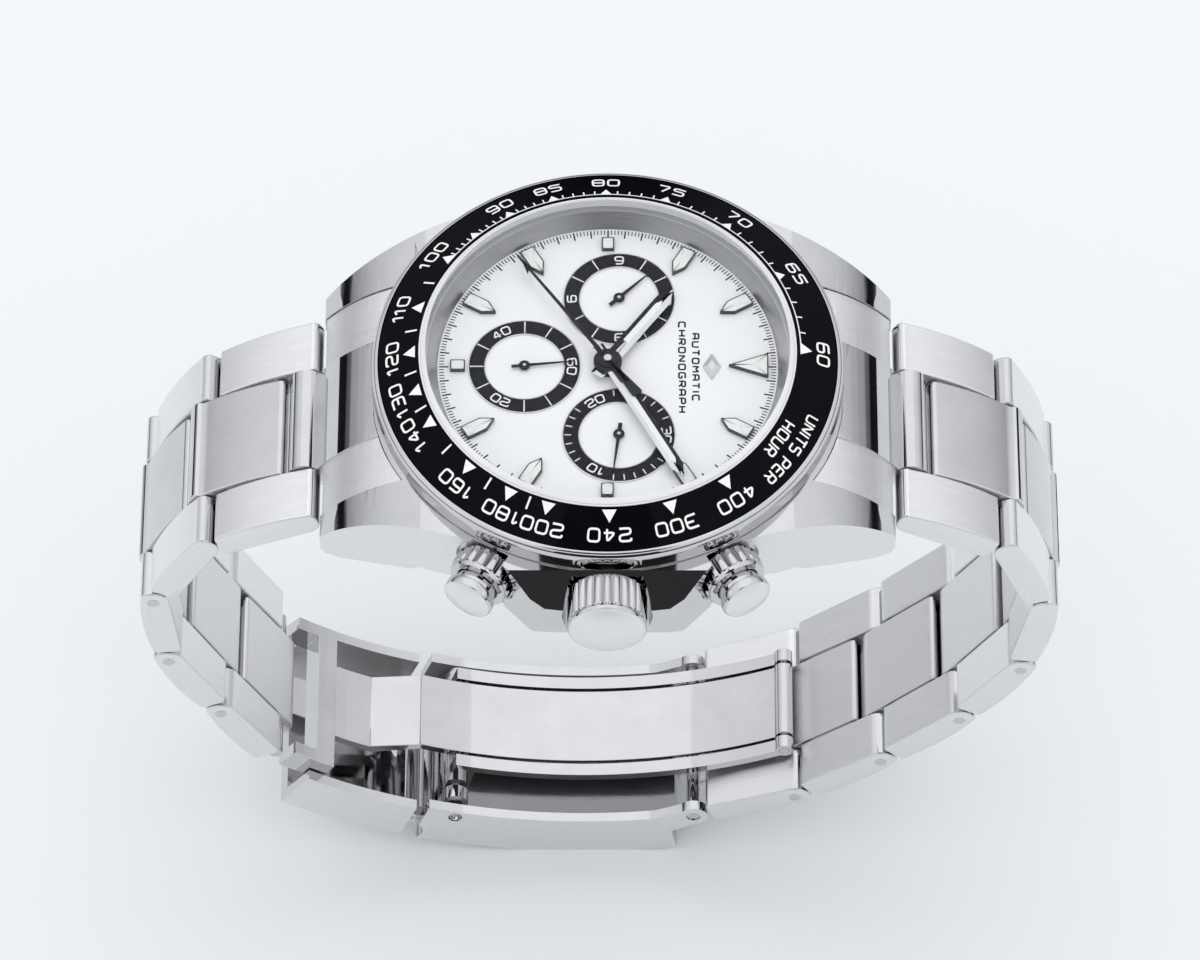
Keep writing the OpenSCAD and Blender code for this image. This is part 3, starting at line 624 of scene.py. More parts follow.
def onto_insert(angle, radius):
    """Rule laying a flat shape on the cone: x runs clockwise round it, y outward in plan, z off its face.
    Radius r = radius + y, height falls linearly from the inner edge to the outer, and z goes along the
    cone's normal."""
    fall = (INSERT_LOW - INSERT_TOP) / (INSERT_OUT_R - INSERT_IN_R)
    tilt = math.hypot(1, fall)

    def rule(p):
        flat_r = radius + p[:, 1]
        a = math.radians(angle) + p[:, 0] / radius
        r = flat_r - p[:, 2] * fall / tilt
        z = INSERT_TOP + (flat_r - INSERT_IN_R) * fall + p[:, 2] / tilt
        return np.column_stack([r * np.sin(a), r * np.cos(a), z])

    return rule


def printed_bar(length, width, thick=0.02):
    """Bar along y centred on the origin."""
    return strip([(0, -length / 2), (0, 0), (0, length / 2)], False, width, thick)


def printed_arc(radius, start, finish, width, lay, steps=240):
    """Thin line round the dial from start to finish, laid by the given rule."""
    x = np.radians(np.linspace(start, finish, steps)) * radius
    line = strip(np.column_stack([x, np.zeros(steps)]), False, width, 0.02)
    return line.moved(lay(0, radius))


SPEED_TURN = 21600    # degrees clockwise from 12, times the speed
SPEED_LAG = 0.6
MARK_R = 16.65
FINE_MARK = 0.5


def speed_scale():
    """Units-per-hour scale: the mark for a speed V stands 21600 / V degrees clockwise from 12."""
    marks = []
    triangle = plate(np.array([(-0.62, 16.17), (0.62, 16.17), (0, 17.16)]) - (0, MARK_R), [(0, 0), (0, 0.02)])
    small_triangle = plate(np.array([(-0.5, 16.2), (0.5, 16.2), (0, 16.98)]) - (0, MARK_R),
                           [(0, 0), (0, 0.02)])
    for speed in (60, 65, 70, 75, 80, 85, 90, 95, 100, 110, 120, 130, 140, 160, 180, 200, 240, 300, 400):
        angle = SPEED_TURN / speed - SPEED_LAG
        pointer = small_triangle if speed in (65, 70, 75, 80, 85, 90, 95) else triangle
        marks.append(pointer.moved(onto_insert(angle, MARK_R)))
        if speed != 95:
            digits = lettering(str(speed), 1.12, 1.1, 0.17, 0.2)
            marks.append(digits.moved(onto_insert(angle, 18.1)))
    for speed in range(61, 100):
        if speed % 5:
            angle = SPEED_TURN / speed - SPEED_LAG
            marks.append(printed_bar(FINE_MARK, 0.12).moved(onto_insert(angle, 16.22 + FINE_MARK / 2)))
    for speed in (105, 115, 125, 135, 150, 170, 190):
        marks.append(printed_bar(1.0, 0.17).moved(onto_insert(SPEED_TURN / speed - SPEED_LAG, MARK_R)))
    marks.append(printed_arc(16.2, 215.4, 359.6, 0.09, onto_insert))
    marks.append(lettering("UNITS PER", 1.0, 0.82, 0.15, 0.14).moved(onto_insert(31.5, 18.25)))
    marks.append(lettering("HOUR", 1.0, 0.82, 0.15, 0.14).moved(onto_insert(31.5, 16.85)))
    return together(marks)


def build_crystal():
    """Sapphire disc with a bevel round its top edge, painted opaque light grey as a painted highlight of the
    crystal's bright rim, and the brushed flange below it.
    """
    disc = rounded([(0, CRYSTAL_LOW), (CRYSTAL_R, CRYSTAL_LOW), (CRYSTAL_R, CRYSTAL_TOP - 0.36),
                    (CRYSTAL_R - 0.42, CRYSTAL_TOP), (0, CRYSTAL_TOP)], [0, 0.03, 0.05, 0.06, 0], 3)
    shape = turned(disc)
    middle = shape.points[shape.quads].mean(axis=1)
    # Painted highlight: faces within 0.4 mm of the crystal's edge take the light grey rim finish, number 1.
    shape.quad_finish = (np.hypot(middle[:, 0], middle[:, 1]) > CRYSTAL_R - 0.4).astype(int)
    make_piece("crystal_disc", shape.welded().outward(), "head", [SAPPHIRE, CRYSTAL_RIM_HIGHLIGHT],
               ["crystal"])
    low, high = span("flange_ring")
    wall = [(DIAL_R, low[2]), (DIAL_R + 0.9, high[2]), (high[0], high[2]), (high[0], low[2])]
    flange = turned(rounded(wall, [0.04, 0.04, 0, 0], 3)).welded().outward()
    make_piece("flange", flange, "head", [REHAUT], ["flange_ring"])
    paint_node("crystal_gasket", NYLON)


# ---------------------------------------------------------------- dial
def onto_dial(centre=(0.0, 0.0), height=0.0):
    """Makes the laying rule for printing round a centre on the dial: x clockwise, y outward, z up."""

    def lay(angle, radius):
        def rule(p):
            a = math.radians(angle) + p[:, 0] / radius
            r = radius + p[:, 1]
            z = DIAL_Z + height + p[:, 2]
            return np.column_stack([centre[0] + r * np.sin(a), centre[1] + r * np.cos(a), z])

        return rule

    return lay


def build_dial():
    """White dial with its printed minute track and words, the sub-dial rings and the applied emblem."""
    paint_node("dial", DIAL_WHITE)
    lay = onto_dial(height=0.002)
    track = [printed_bar(0.42, 0.075).moved(lay(a, 13.98)) for a in np.arange(0, 360, 1.2)]
    track += [printed_bar(0.78, 0.12).moved(lay(a, 13.8)) for a in np.arange(0, 360, 6.0)]
    words = [("AUTOMATIC", 7.4, 0.68), ("CHRONOGRAPH", 6.25, 0.7)]
    track += [lettering(word, 0.68, size, 0.15, 0.17, 0.01).moved(shift(0, y, DIAL_Z + 0.002))
              for word, y, size in words]
    make_piece("dial_printing", together(track), "head", [BLACK_PRINT])
    rings, marks = [], []
    for name, centre in SUBDIALS.items():
        section = rounded([(RING_IN, DIAL_Z + 0.01), (RING_OUT, DIAL_Z + 0.01), (RING_OUT, DIAL_Z + 0.08),
                           (RING_IN, DIAL_Z + 0.08)], [0, 0, 0.02, 0.02], 2)
        rings.append(turned(section, 96).moved(shift(*centre)))
        for start in (RING_OUT + 0.02, RING_IN - 0.12):
            rim = rounded([(start, DIAL_Z + 0.003), (start + 0.1, DIAL_Z + 0.003),
                           (start + 0.1, DIAL_Z + 0.1),
                           (start, DIAL_Z + 0.1)], 0.03, 2)
            rings.append(turned(rim, 96).moved(shift(*centre)).finished(1))
        marks += counter_marks(name, centre)
    make_piece("subdial_discs", together(rings), "head", [BLACK_PRINT, POLISHED],
               ["subdial_rings"])
    make_piece("subdial_figures", together(marks), "head", [WHITE_PRINT])
    facets = plate([(0, 0.75), (1.3, 0), (0, -0.75), (-1.3, 0)], [(0, 0.01), (0, 0.14), (0.36, 0.26)])
    make_piece("emblem", facets.welded().outward().moved(shift(0, 8.75, DIAL_Z)), "head", [POLISHED],
               ["dial_emblem"], angle=10)


def counter_marks(name, centre):
    """White figures and ticks of one sub-dial ring, tops outward."""
    lay = onto_dial(centre, 0.082)
    middle = (RING_OUT + RING_IN) / 2
    figures = {"seconds": ("20", "40", "60"), "counter_30": ("10", "20", "30"),
               "counter_12": ("3", "6", "9", "12")}
    ticks = {"seconds": 12, "counter_30": 30, "counter_12": 12}[name]
    count = len(figures[name])
    made = [lettering(text, 0.86, 0.8, 0.13, 0.1, 0.01).moved(lay(360 / count * (i + 1), middle - 0.02))
            for i, text in enumerate(figures[name])]
    places = np.arange(ticks) * 360 / ticks
    step = 360 / count
    gap = np.abs((places + step / 2) % step - step / 2)
    room = 14.0 if name == "counter_12" else 19.0
    length, width = (0.55, 0.09) if name == "counter_30" else (RING_OUT - RING_IN - 0.1, 0.1)
    start = middle if name != "counter_30" else RING_OUT - 0.1 - length / 2
    return made + [printed_bar(length, width, 0.01).moved(lay(a, start)) for a in places[gap > room]]


def build_markers():
    """Applied hour markers: a polished steel frame, coloured near black as a painted dark reflection, round a
    raised bar of lume.
    """
    pointed = [(0, 10.9), (0.66, 12.0), (0.66, 13.85), (-0.66, 13.85), (-0.66, 12.0)]
    triangle = [(0, 10.15), (1.2, 13.5), (-1.2, 13.5)]
    block = [(-0.53, 12.0), (0.53, 12.0), (0.53, 13.25), (-0.53, 13.25)]
    frames, fills = [], []
    for hour in range(12):
        outline = triangle if hour == 0 else block if hour % 3 == 0 else pointed
        outline = rounded(outline, 0.06, 2)
        frame_rows = [(0, 0.01), (0, 0.35), (0.03, 0.38), (0.09, 0.38), (0.11, 0.36), (0.11, 0.2)]
        frames.append(plate(outline, frame_rows).moved(clockwise(30 * hour)))
        fills.append(plate(outline, [(0.11, 0.2), (0.11, 0.37)]).moved(clockwise(30 * hour)))
    lift = shift(0, 0, DIAL_Z)
    make_piece("marker_frames", together(frames).moved(lift), "head", [MARKER_FRAME_PAINTED_DARK],
               ["hour_markers"])
    make_piece("marker_fills", together(fills).moved(lift), "head", [LUME], ["marker_lume"])


# ---------------------------------------------------------------- hands
def hub(radius, low, high, finish=0):
    """Round boss with a softly rounded top edge."""
    ring = arc(0, 0, radius, 0, 352.5, 47)
    return plate(ring, soft_edge(low, high, 0.06), finish=finish)


def baton_hand(name, body, node, angle, length, width, tail, low, high):
    """Four-sided baton with a ridge on each side of a sunk strip of lume. The blade's left half takes the
    dark hand finish as a painted dark reflection of the facet turned from the light; the right half keeps the
    light hand steel.
    """
    outline = [(-width * 0.42, -tail), (width * 0.42, -tail), (width / 2, 1), (width / 2, length - width),
               (0, length), (-width / 2, length - width), (-width / 2, 1)]
    blade = plate(rounded(outline, 0.05, 2), [(0, low), (0, high - 0.07), (width * 0.2, high)])
    strip_w = width * 0.21
    lume = [(-strip_w, 2.6), (strip_w, 2.6), (strip_w, length - width * 1.6), (0, length - width * 1.15),
            (-strip_w, length - width * 1.6)]
    light = plate(rounded(lume, 0.04, 2), [(0, high - 0.03), (0.01, high + 0.012)], finish=1)
    # Painted dark reflection: faces on the left half of the blade (x < 0) take the dark finish, number 2, and
    # the right half keeps the light steel.
    for corners, finish in ((blade.quads, blade.quad_finish), (blade.tris, blade.tri_finish)):
        finish[:] = np.where(blade.points[corners][:, :, 0].mean(axis=1) < 0, 2, 0)
    shape = together([blade, light, hub(1.2, low, high + 0.03, 2), hub(0.62, low, high + 0.1, 2)])
    shape = shape.moved(clockwise(angle)).moved(shift(0, 0, DIAL_Z))
    return make_piece(name, shape, body, [HAND_STEEL, LUME, DARK_HAND_AND_FACET_SHADE], [node], angle=20)


def build_hands():
    """Hour and minute batons, the arrow-tipped sweep hand with its tapered tail and bright pin,
    and the three sub-dial hands."""
    baton_hand("hour_baton", "hour_hand", "hour_hand", 306, 9.4, 1.35, 1.6, 0.6, 0.76)
    baton_hand("minute_baton", "minute_hand", "minute_hand", 61.5, 13.3, 1.15, 1.8, 0.86, 1.0)
    low, high = 1.1, 1.22
    edge = soft_edge(low, high, 0.03, 2)
    stem = plate([(-0.22, -2.9), (0.22, -2.9), (0.09, 13.2), (-0.09, 13.2)], edge)
    tip = plate([(-0.42, 11.1), (0, 11.45), (0.42, 11.1), (0, 12.6)], edge)
    tail = rounded([(-0.5, -4.4), (0.5, -4.4), (0.16, -0.5), (-0.16, -0.5)], 0.22, 5)
    sweep = together([stem, tip, plate(tail, edge), hub(0.85, low, high), hub(0.34, -0.2, high + 0.24, 1)])
    sweep = sweep.moved(clockwise(234.5)).moved(shift(0, 0, DIAL_Z))
    make_piece("sweep_hand", sweep, "chrono_seconds", [DARK_HAND_AND_FACET_SHADE, POLISHED],
               ["chrono_seconds_hand"])
    for name, body, node, centre, angle, length, tail, width in (
        ("seconds_needle", "small_seconds", "small_seconds_hand", "seconds", 354, 4.1, 1.1, 0.26),
        ("half_hour_needle", "counter_30", "counter_30_hand", "counter_30", 97, 3.9, 1.1, 0.34),
        ("twelve_hour_needle", "counter_12", "counter_12_hand", "counter_12", 315, 3.6, 1.1, 0.34),
    ):
        outline = [(-width / 2, -tail), (width / 2, -tail), (width / 2, 0), (0.04, length), (-0.04, length),
                   (-width / 2, 0)]
        needle = plate(outline, soft_edge(0.22, 0.32, 0.03, 2))
        centre_pin = hub(0.16, 0.1, 0.4).finished(1)
        shape = together([needle, hub(0.48, 0.22, 0.33), centre_pin])
        shape = shape.moved(clockwise(angle)).moved(shift(*SUBDIALS[centre], DIAL_Z))
        make_piece(name, shape, body, [DARK_HAND_AND_FACET_SHADE, POLISHED], [node])


# ---------------------------------------------------------------- crown and pushers
def along_axis(angle, start):
    """Rule that lays a shape drawn along +Z on a control's axis, which leaves the case at the angle from
    3 o'clock; start is its distance from the dial's axis."""
    c, s = math.cos(math.radians(angle)), math.sin(math.radians(angle))
    height = packed_axis("crown_turn")[0][2]

    def rule(p):
        out = start + p[:, 2]
        return np.column_stack([out * c - p[:, 1] * s, out * s + p[:, 1] * c, height - p[:, 0]])

    return rule


def fluted(radius, count, depth, profile, sharp=1.0):
    """Knob: ring by ring the radius is the profile's, less depth * w * (1 - |cos(count * a / 2)|^sharp),
    where w
    is the profile's share of fluting at that ring."""
    a = np.linspace(0, 2 * math.pi, count * 12, endpoint=False)
    groove = 1 - np.abs(np.cos(count * a / 2)) ** sharp
    rows = [np.column_stack([(r - depth * w * groove) * np.cos(a), (r - depth * w * groove) * np.sin(a),
                             np.full(len(a), z)]) for r, z, w in profile]
    return skin(rows)


def dome_rows(radius, base, rise, edge, steps=10):
    """Radius, height and zero fluting for a shallow dome: height base + rise (1 - (r / radius)^2)."""
    r = np.linspace(radius - edge, 0.02, steps)
    return [(radius, base, 0.0), *[(v, base + rise * (1 - (v / radius) ** 2), 0.0) for v in r]]


def build_crown():
    """Fluted crown with a smooth polished collar and a satin dome."""
    start = 20.5
    profile = [(2.0, 0.0, 0), (3.05, 0.0, 0), (3.25, 0.14, 0.6), (3.3, 0.3, 1), (3.3, 2.75, 1),
               (3.28, 2.95, 0.55),
               (3.2, 3.05, 0), (3.24, 3.12, 0), (3.3, 3.22, 0), (3.3, 3.42, 0), (3.24, 3.54, 0)]
    profile += [(r, z, 0) for r, z, _ in dome_rows(3.14, 3.56, 0.72, 0.0)[1:]]
    body = fluted(3.3, 24, 0.3, profile, 0.7)
    body.quad_finish = (body.points[body.quads].mean(axis=1)[:, 2] > 3.57).astype(int)
    body.tri_finish[:] = 1
    shape = body.welded().outward().moved(along_axis(0, start))
    make_piece("crown_knob", shape, "crown", [POLISHED, SATIN_DOME], ["crown"], (0, 1, 0),
               30)


def build_pushers():
    """Screw-down pushers: a deeply fluted lock collar and a domed cap on a narrow neck."""
    for number, angle in (("2", 29), ("4", -29)):
        lay = along_axis(angle, 20.25)
        collar = [(1.9, 0, 0), (2.5, 0.0, 0.3), (2.7, 0.12, 1), (2.75, 0.3, 1), (2.75, 1.5, 1),
                  (2.72, 1.68, 0.5),
                  (2.62, 1.76, 0), (2.6, 1.95, 0), (2.5, 2.12, 0), (1.95, 2.15, 0), (1.86, 2.05, 0),
                  (1.86, 1.0, 0)]
        make_piece(f"lock_collar_{number}",
                   fluted(2.75, 16, 0.42, collar, 0.55).welded().outward().moved(lay),
                   f"collar_{number}", [POLISHED], [f"collar_{number}"], angle=32)
        cap = [(0.78, -3.0, 0), (0.78, 1.65, 0), (1.7, 1.7, 0), (1.78, 1.78, 0), (1.78, 2.85, 0),
               (1.85, 2.94, 0),
               (2.05, 2.96, 0), (2.16, 3.02, 0), (2.2, 3.14, 0), (2.2, 3.66, 0), (2.14, 3.8, 0)]
        cap += [(r, z, 0) for r, z, _ in dome_rows(2.06, 3.83, 0.45, 0.0)[1:]]
        body = fluted(2.2, 8, 0.0, cap)
        body.quad_finish = (body.points[body.quads].mean(axis=1)[:, 2] > 3.84).astype(int)
        body.tri_finish[len(body.tri_finish) // 2:] = 1
        make_piece(f"pusher_cap_{number}", body.welded().outward().moved(lay), f"pusher_{number}",
                   [POLISHED, SATIN_DOME], [f"pusher_{number}"], angle=32)
    for name in ("crown_tube", "pusher_tubes", "winding_stem"):
        paint_node(name, POLISHED)


# ---------------------------------------------------------------- bracelet
PITCH = 9.8
EAR_R = 1.4
LINK_GAP = 0.25
MID_W, MID_STEP = 9.7, 0.25
STRAP_W, STRAP_W_END = 20.1, 16.8


def link_frame(side, number):
    """Pivot of a link, its direction away from the case and its outward direction, from the joints'
    points."""
    count = 7 if side == "12" else 5
    here = packed_axis(f"bracelet_{side}_{number}")[0]
    if number < count:
        ahead = packed_axis(f"bracelet_{side}_{number + 1}")[0]
    elif side == "12":
        ahead = packed_axis("clasp_open")[0]
    else:
        bar_low, bar_high = span("clasp_spring_bar")
        ahead = (bar_low + bar_high) / 2
    run = (ahead - here) * (0, 1, 1)
    run = run / np.linalg.norm(run)
    out = np.array([0, -run[2], run[1]]) * (1 if side == "12" else -1)
    return here * (0, 1, 1), run, out


def into_link(here, run, out):
    """Rule from link coordinates (x, u along the link, v outward) to the frame."""
    return lambda p: here + p[:, :1] * (1, 0, 0) + p[:, 1:2] * run + p[:, 2:3] * out


def side_loft(outline, stations, taper, finish=0):
    """Outline in u and v carried across x. Each station is (share of the width, inset), with the width at a
    point given by taper(u), a pair of inner and outer x."""
    rows = []
    for share, depth, off in stations:
        flat = inset(outline, depth)
        low, high = taper(flat[:, 0])
        rows.append(np.column_stack([low + (high - low) * share + off, flat[:, 0], flat[:, 1]]))
    return skin(rows, finish=finish)


def edge_stations(edge, steps=3):
    """Stations of a block with rounded long edges: inset edge (1 - sin a) and offset edge (1 - cos a)."""
    a = np.radians(np.linspace(0, 90, steps + 1))
    near = [(0, edge * (1 - math.sin(t)), edge * (1 - math.cos(t))) for t in a]
    far = [(1, edge * (1 - math.sin(t)), -edge * (1 - math.cos(t))) for t in a[::-1]]
    return near + far


def outer_outline():
    """Side view of an outer piece: round end about the pivot, shallow dome, squared far end."""
    length = PITCH - EAR_R - LINK_GAP
    dome_c, dome_r = PITCH / 2 - 1, 26.0
    u = np.linspace(-0.7, length - 0.42, 16)
    crown = np.column_stack([u, EAR_R - dome_r + np.sqrt(dome_r**2 - (u - dome_c) ** 2)])
    end_v = crown[-1, 1]
    nose = np.vstack([arc(-EAR_R + 0.62, crown[0, 1] - 0.62, 0.62, 95, 178, 7),
                      arc(0, 0, EAR_R, 180, 266, 12)])
    low = np.column_stack([np.linspace(0.2, length - 0.7, 6), np.full(6, -EAR_R)])
    corner = arc(length - 0.4, -EAR_R + 0.4, 0.4, -90, 0, 5)
    shoulder = arc(length - 0.42, end_v - 0.42, 0.42, 0, 85, 6)
    return np.vstack([nose, low, corner, shoulder, crown[::-1]])


def middle_outline():
    """Side view of a centre piece: squared near end, shallow dome, round tongue about the next pivot."""
    start = EAR_R + LINK_GAP
    dome_c, dome_r = PITCH / 2 + 1, 26.0
    u = np.linspace(start + 0.5, PITCH - 0.3, 14)
    crown = np.column_stack([u, EAR_R - dome_r + np.sqrt(dome_r**2 - (u - dome_c) ** 2)])
    tongue = arc(PITCH, 0, EAR_R - 0.01, -90, 85, 16)
    low = np.column_stack([np.linspace(start + 0.7, PITCH - 0.3, 6), np.full(6, -EAR_R)])
    corner = arc(start + 0.4, -EAR_R + 0.4, 0.4, 180, 270, 5)
    shoulder = arc(start + 0.5, crown[0, 1] - 0.5, 0.5, 95, 180, 6)
    return np.vstack([low, tongue, crown[::-1], shoulder, corner])


def half_width(share):
    """Half the strap's width, a straight taper from the case (0) to the clasp (1)."""
    return (STRAP_W + (STRAP_W_END - STRAP_W) * share) / 2


def build_link(side, number):
    """One link: two satin outer pieces, a polished centre piece, and the slotted pin between them."""
    count = 7 if side == "12" else 5
    body = f"link_{side}_{number}"
    here, run, out = link_frame(side, number)
    place = into_link(here, run, out)
    ear_x = (MID_W - MID_STEP * (number - 2)) / 2 + 0.1
    mid_x = (MID_W - MID_STEP * (number - 1)) / 2
    w0, w1 = half_width((number - 1) / count), half_width(number / count)

    def outer_span(u):
        return np.full(len(u), ear_x), w0 + (w1 - w0) * np.clip((u + 2) / (PITCH + 2), 0, 1)

    def middle_span(u):
        return np.full(len(u), -mid_x), np.full(len(u), mid_x)

    outer = side_loft(outer_outline(), edge_stations(0.16), outer_span)
    flipped = outer.moved(lambda p: p * (-1, 1, 1))
    pair = together([outer, flipped]).moved(place)
    pair = mark_sides(pair.outward(), run)
    make_piece(f"{body}_outers", pair, body, [BRUSHED, SATIN_SIDE, POLISHED], [body], run)
    middle = side_loft(middle_outline(), edge_stations(0.14), middle_span)
    core = side_loft(rounded([(2.4, -1.0), (7.1, -1.0), (7.1, 0.8), (2.4, 0.8)], 0.1, 2),
                     [(0, 0, 0), (1, 0, 0)],
                     lambda u: (np.full(len(u), -ear_x - 0.4), np.full(len(u), ear_x + 0.4)))
    centre = together([middle, core]).moved(place).outward()
    make_piece(f"{body}_centre", mark_underside(centre, out), body, [POLISHED, SATIN_SIDE],
               (),
               run)
    screwed = number > (3 if side == "12" else 2)
    pin = screw_pin(w0 - 0.02 if screwed else w0 - 0.6).moved(place)
    make_piece(f"{body}_pin", pin, body, [POLISHED])


def screw_pin(reach):
    """Round pin across the link with a shallow domed head at each end."""
    a = np.linspace(0, 2 * math.pi, 32, endpoint=False)
    profile = [(-reach - 0.01, 0.3), (-reach, 0.52), (-reach + 0.08, 0.6), (reach - 0.08, 0.6), (reach, 0.52),
               (reach + 0.01, 0.3)]
    rows = [np.column_stack([np.full(32, x), r * np.cos(a), r * np.sin(a)]) for x, r in profile]
    return skin(rows).welded().outward()


def facing(points, corners):
    """Unit normal of each face, from its first three corners."""
    a, b, c = (points[corners[:, k]] for k in (0, 1, 2))
    n = np.cross(b - a, c - a)
    return n / np.maximum(np.linalg.norm(n, axis=1), 1e-12)[:, None]


def mark_sides(shape, run):
    """Finish by facing: 0 brushed top and underside, 1 satin side, 2 polished rounded ends."""
    for corners, finish in ((shape.quads, shape.quad_finish), (shape.tris, shape.tri_finish)):
        n = facing(shape.points, corners)
        ends = (np.abs(n @ run) > 0.45) & (np.abs(n[:, 0]) < 0.7)
        finish[:] = np.where(np.abs(n[:, 0]) > 0.7, 1, np.where(ends, 2, 0))
    return shape


def mark_underside(shape, out):
    """Finish by facing: 1 on the satin underside and sides, 0 on the polished top and ends."""
    for corners, finish in ((shape.quads, shape.quad_finish), (shape.tris, shape.tri_finish)):
        n = facing(shape.points, corners)
        finish[:] = (n @ out < -0.6) | (np.abs(n[:, 0]) > 0.7)
    return shape


def build_bracelet():
    """Every link of both strands, and the pins that keep their own solids."""
    for side, count in (("12", 7), ("6", 5)):
        for number in range(1, count + 1):
            build_link(side, number)
    for name in ("lug_spring_bars", "clasp_spring_bar", "cover_pin", "clasp_knuckle_pin", "flip_pin",
                 "blade_pin"):
        paint_node(name, POLISHED)


# ---------------------------------------------------------------- case, end links and clasp
def edged_copy(node, name, body, finishes, pick=None, edge=0.12, edge_finish=0, along=(0, 1, 0),
               angle=30, segments=3, curve=None):
    """A node's own solid with its doubles merged, its flat faces joined and its sharp edges rounded. pick
    takes face middles in millimetres and normals, and gives each face's finish number. curve is the end and
    the turning point of a curved top, for cut_finely."""
    work = bmesh.new()
    work.from_mesh(nodes[node].data)
    bmesh.ops.remove_doubles(work, verts=work.verts, dist=0.000002)
    bmesh.ops.dissolve_limit(work, angle_limit=math.radians(0.05), verts=work.verts, edges=work.edges)
    if curve:
        cut_finely(work, *curve)
    mesh = bpy.data.meshes.new(name)
    work.to_mesh(mesh)
    work.free()
    mesh.materials.clear()
    for finish in finishes:
        mesh.materials.append(finish)
    count = len(mesh.polygons)
    normal, middle = np.empty(count * 3), np.empty(count * 3)
    mesh.polygons.foreach_get("normal", normal)
    mesh.polygons.foreach_get("center", middle)
    normal, middle = normal.reshape(-1, 3), middle.reshape(-1, 3) / MM
    numbers = np.zeros(count, int) if pick is None else pick(middle, normal)
    mesh.polygons.foreach_set("material_index", numbers.astype(np.int32))
    lay_grain(mesh, along(middle) if callable(along) else along)
    piece = bpy.data.objects.new(name, mesh)
    bpy.context.scene.collection.objects.link(piece)
    if edge:
        bevel = piece.modifiers.new("softened_edges", "BEVEL")
        bevel.width = edge * MM
        bevel.segments = segments
        bevel.limit_method = "ANGLE"
        bevel.angle_limit = math.radians(angle)
        bevel.use_clamp_overlap = True
        bevel.material = edge_finish
    finish_mesh(piece, 30)
    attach(piece, body)
    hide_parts(node)
    return piece


def cut_finely(work, tip, start, radius, height):
    """Cuts a lug's curved top every 0.35 mm along y, and lays the new corners on its circle, of the given
    radius about y = start, z = height (mm)."""
    for side in (-1, 1):
        for y in np.arange(start, tip, 0.35):
            parts = list(work.verts) + list(work.edges) + list(work.faces)
            bmesh.ops.bisect_plane(work, geom=parts, plane_co=(0, side * y * MM, 0), plane_no=(0, 1, 0),
                                   dist=1e-7)
    for corner in work.verts:
        run, rise = abs(corner.co.y) / MM - start, corner.co.z / MM - height
        if run > 0 and rise > 0 and abs(math.hypot(run, rise) - radius) < 0.03:
            corner.co.z = (height + math.sqrt(radius**2 - run**2)) * MM


CLASP_CENTRE = np.array([-2.3, 46.7])    # Y and Z of the axis the clasp is curved about
CLASP_SKIN_R = 46.9
LUG_CURVE = (12.0, 15.0, DIAL_Z - 16.1)    # start, radius and height, as cut_finely takes them


def around_clasp(middle):
    """Brushing direction of the clasp: along the circle about its centre."""
    radial = middle[:, 1:] - CLASP_CENTRE
    radial = radial / np.maximum(np.linalg.norm(radial, axis=1), 1e-6)[:, None]
    return np.column_stack([np.zeros(len(middle)), -radial[:, 1], radial[:, 0]])


def build_case():
    """Case body with polished tops and satin lug flanks, the case back and the end links."""
    def case_finish(middle, normal):
        flank = (np.abs(normal[:, 0]) > 0.4) & (np.abs(middle[:, 1]) > 9.5) & (normal[:, 2] < 0.3)
        return np.where(flank, 1, 0)

    edged_copy("mid_case", "case_body", "head", [POLISHED, SATIN_SIDE], case_finish, 0.4,
               segments=4,
               curve=(23.9, *LUG_CURVE))
    edged_copy("case_back", "back_cover", "head", [SATIN_DOME, POLISHED], None, 0.1, 1)

    def end_finish(middle, normal):
        centre = (np.abs(middle[:, 0]) < 4.9)
        return np.where(centre, 1, np.where(np.abs(normal[:, 0]) > 0.7, 2, 0))

    for side in ("12", "6"):
        edged_copy(f"end_link_{side}", f"end_piece_{side}", "head", [BRUSHED, POLISHED, SATIN_SIDE],
                   end_finish, 0.1, 1, curve=(25.4, *LUG_CURVE))


def build_clasp():
    """Folding clasp: curved cover, flip lock and the two polished blades."""
    def cover_finish(middle, normal):
        outside = np.hypot(*(middle[:, 1:] - CLASP_CENTRE).T) > CLASP_SKIN_R
        side = np.abs(normal[:, 0]) > 0.7
        return np.where(side, 1, np.where(outside, 2, 0))

    finishes = [POLISHED, SATIN_SIDE, BRUSHED]
    edged_copy("clasp_cover", "clasp_shell", "clasp_cover", finishes, cover_finish, 0.14, 0,
               around_clasp)
    edged_copy("flip_lock", "flip_lock_shell", "flip_lock", finishes, cover_finish, 0.14, 0,
               around_clasp)
    edged_copy("blade_mid", "blade_outer_leaf", "blade_mid", [POLISHED], None, 0.08, 0)
    edged_copy("blade_inner", "blade_inner_leaf", "blade_inner", [POLISHED], None, 0.08, 0)


def build_movement():
    """The parts inside the case keep their own solids and get grained brass and steel."""
    for name in ("main_plate", "barrel", "balance"):
        paint_node(name, BRASS)
    for name in ("train_bridge", "rotor"):
        paint_node(name, PLATED)
    paint_node("movement_holder", NYLON)
    paint_node("case_back_gasket", RUBBER)


# ---------------------------------------------------------------- stage
CARD_X = 0.6    # metres from the origin, on the side of the crown


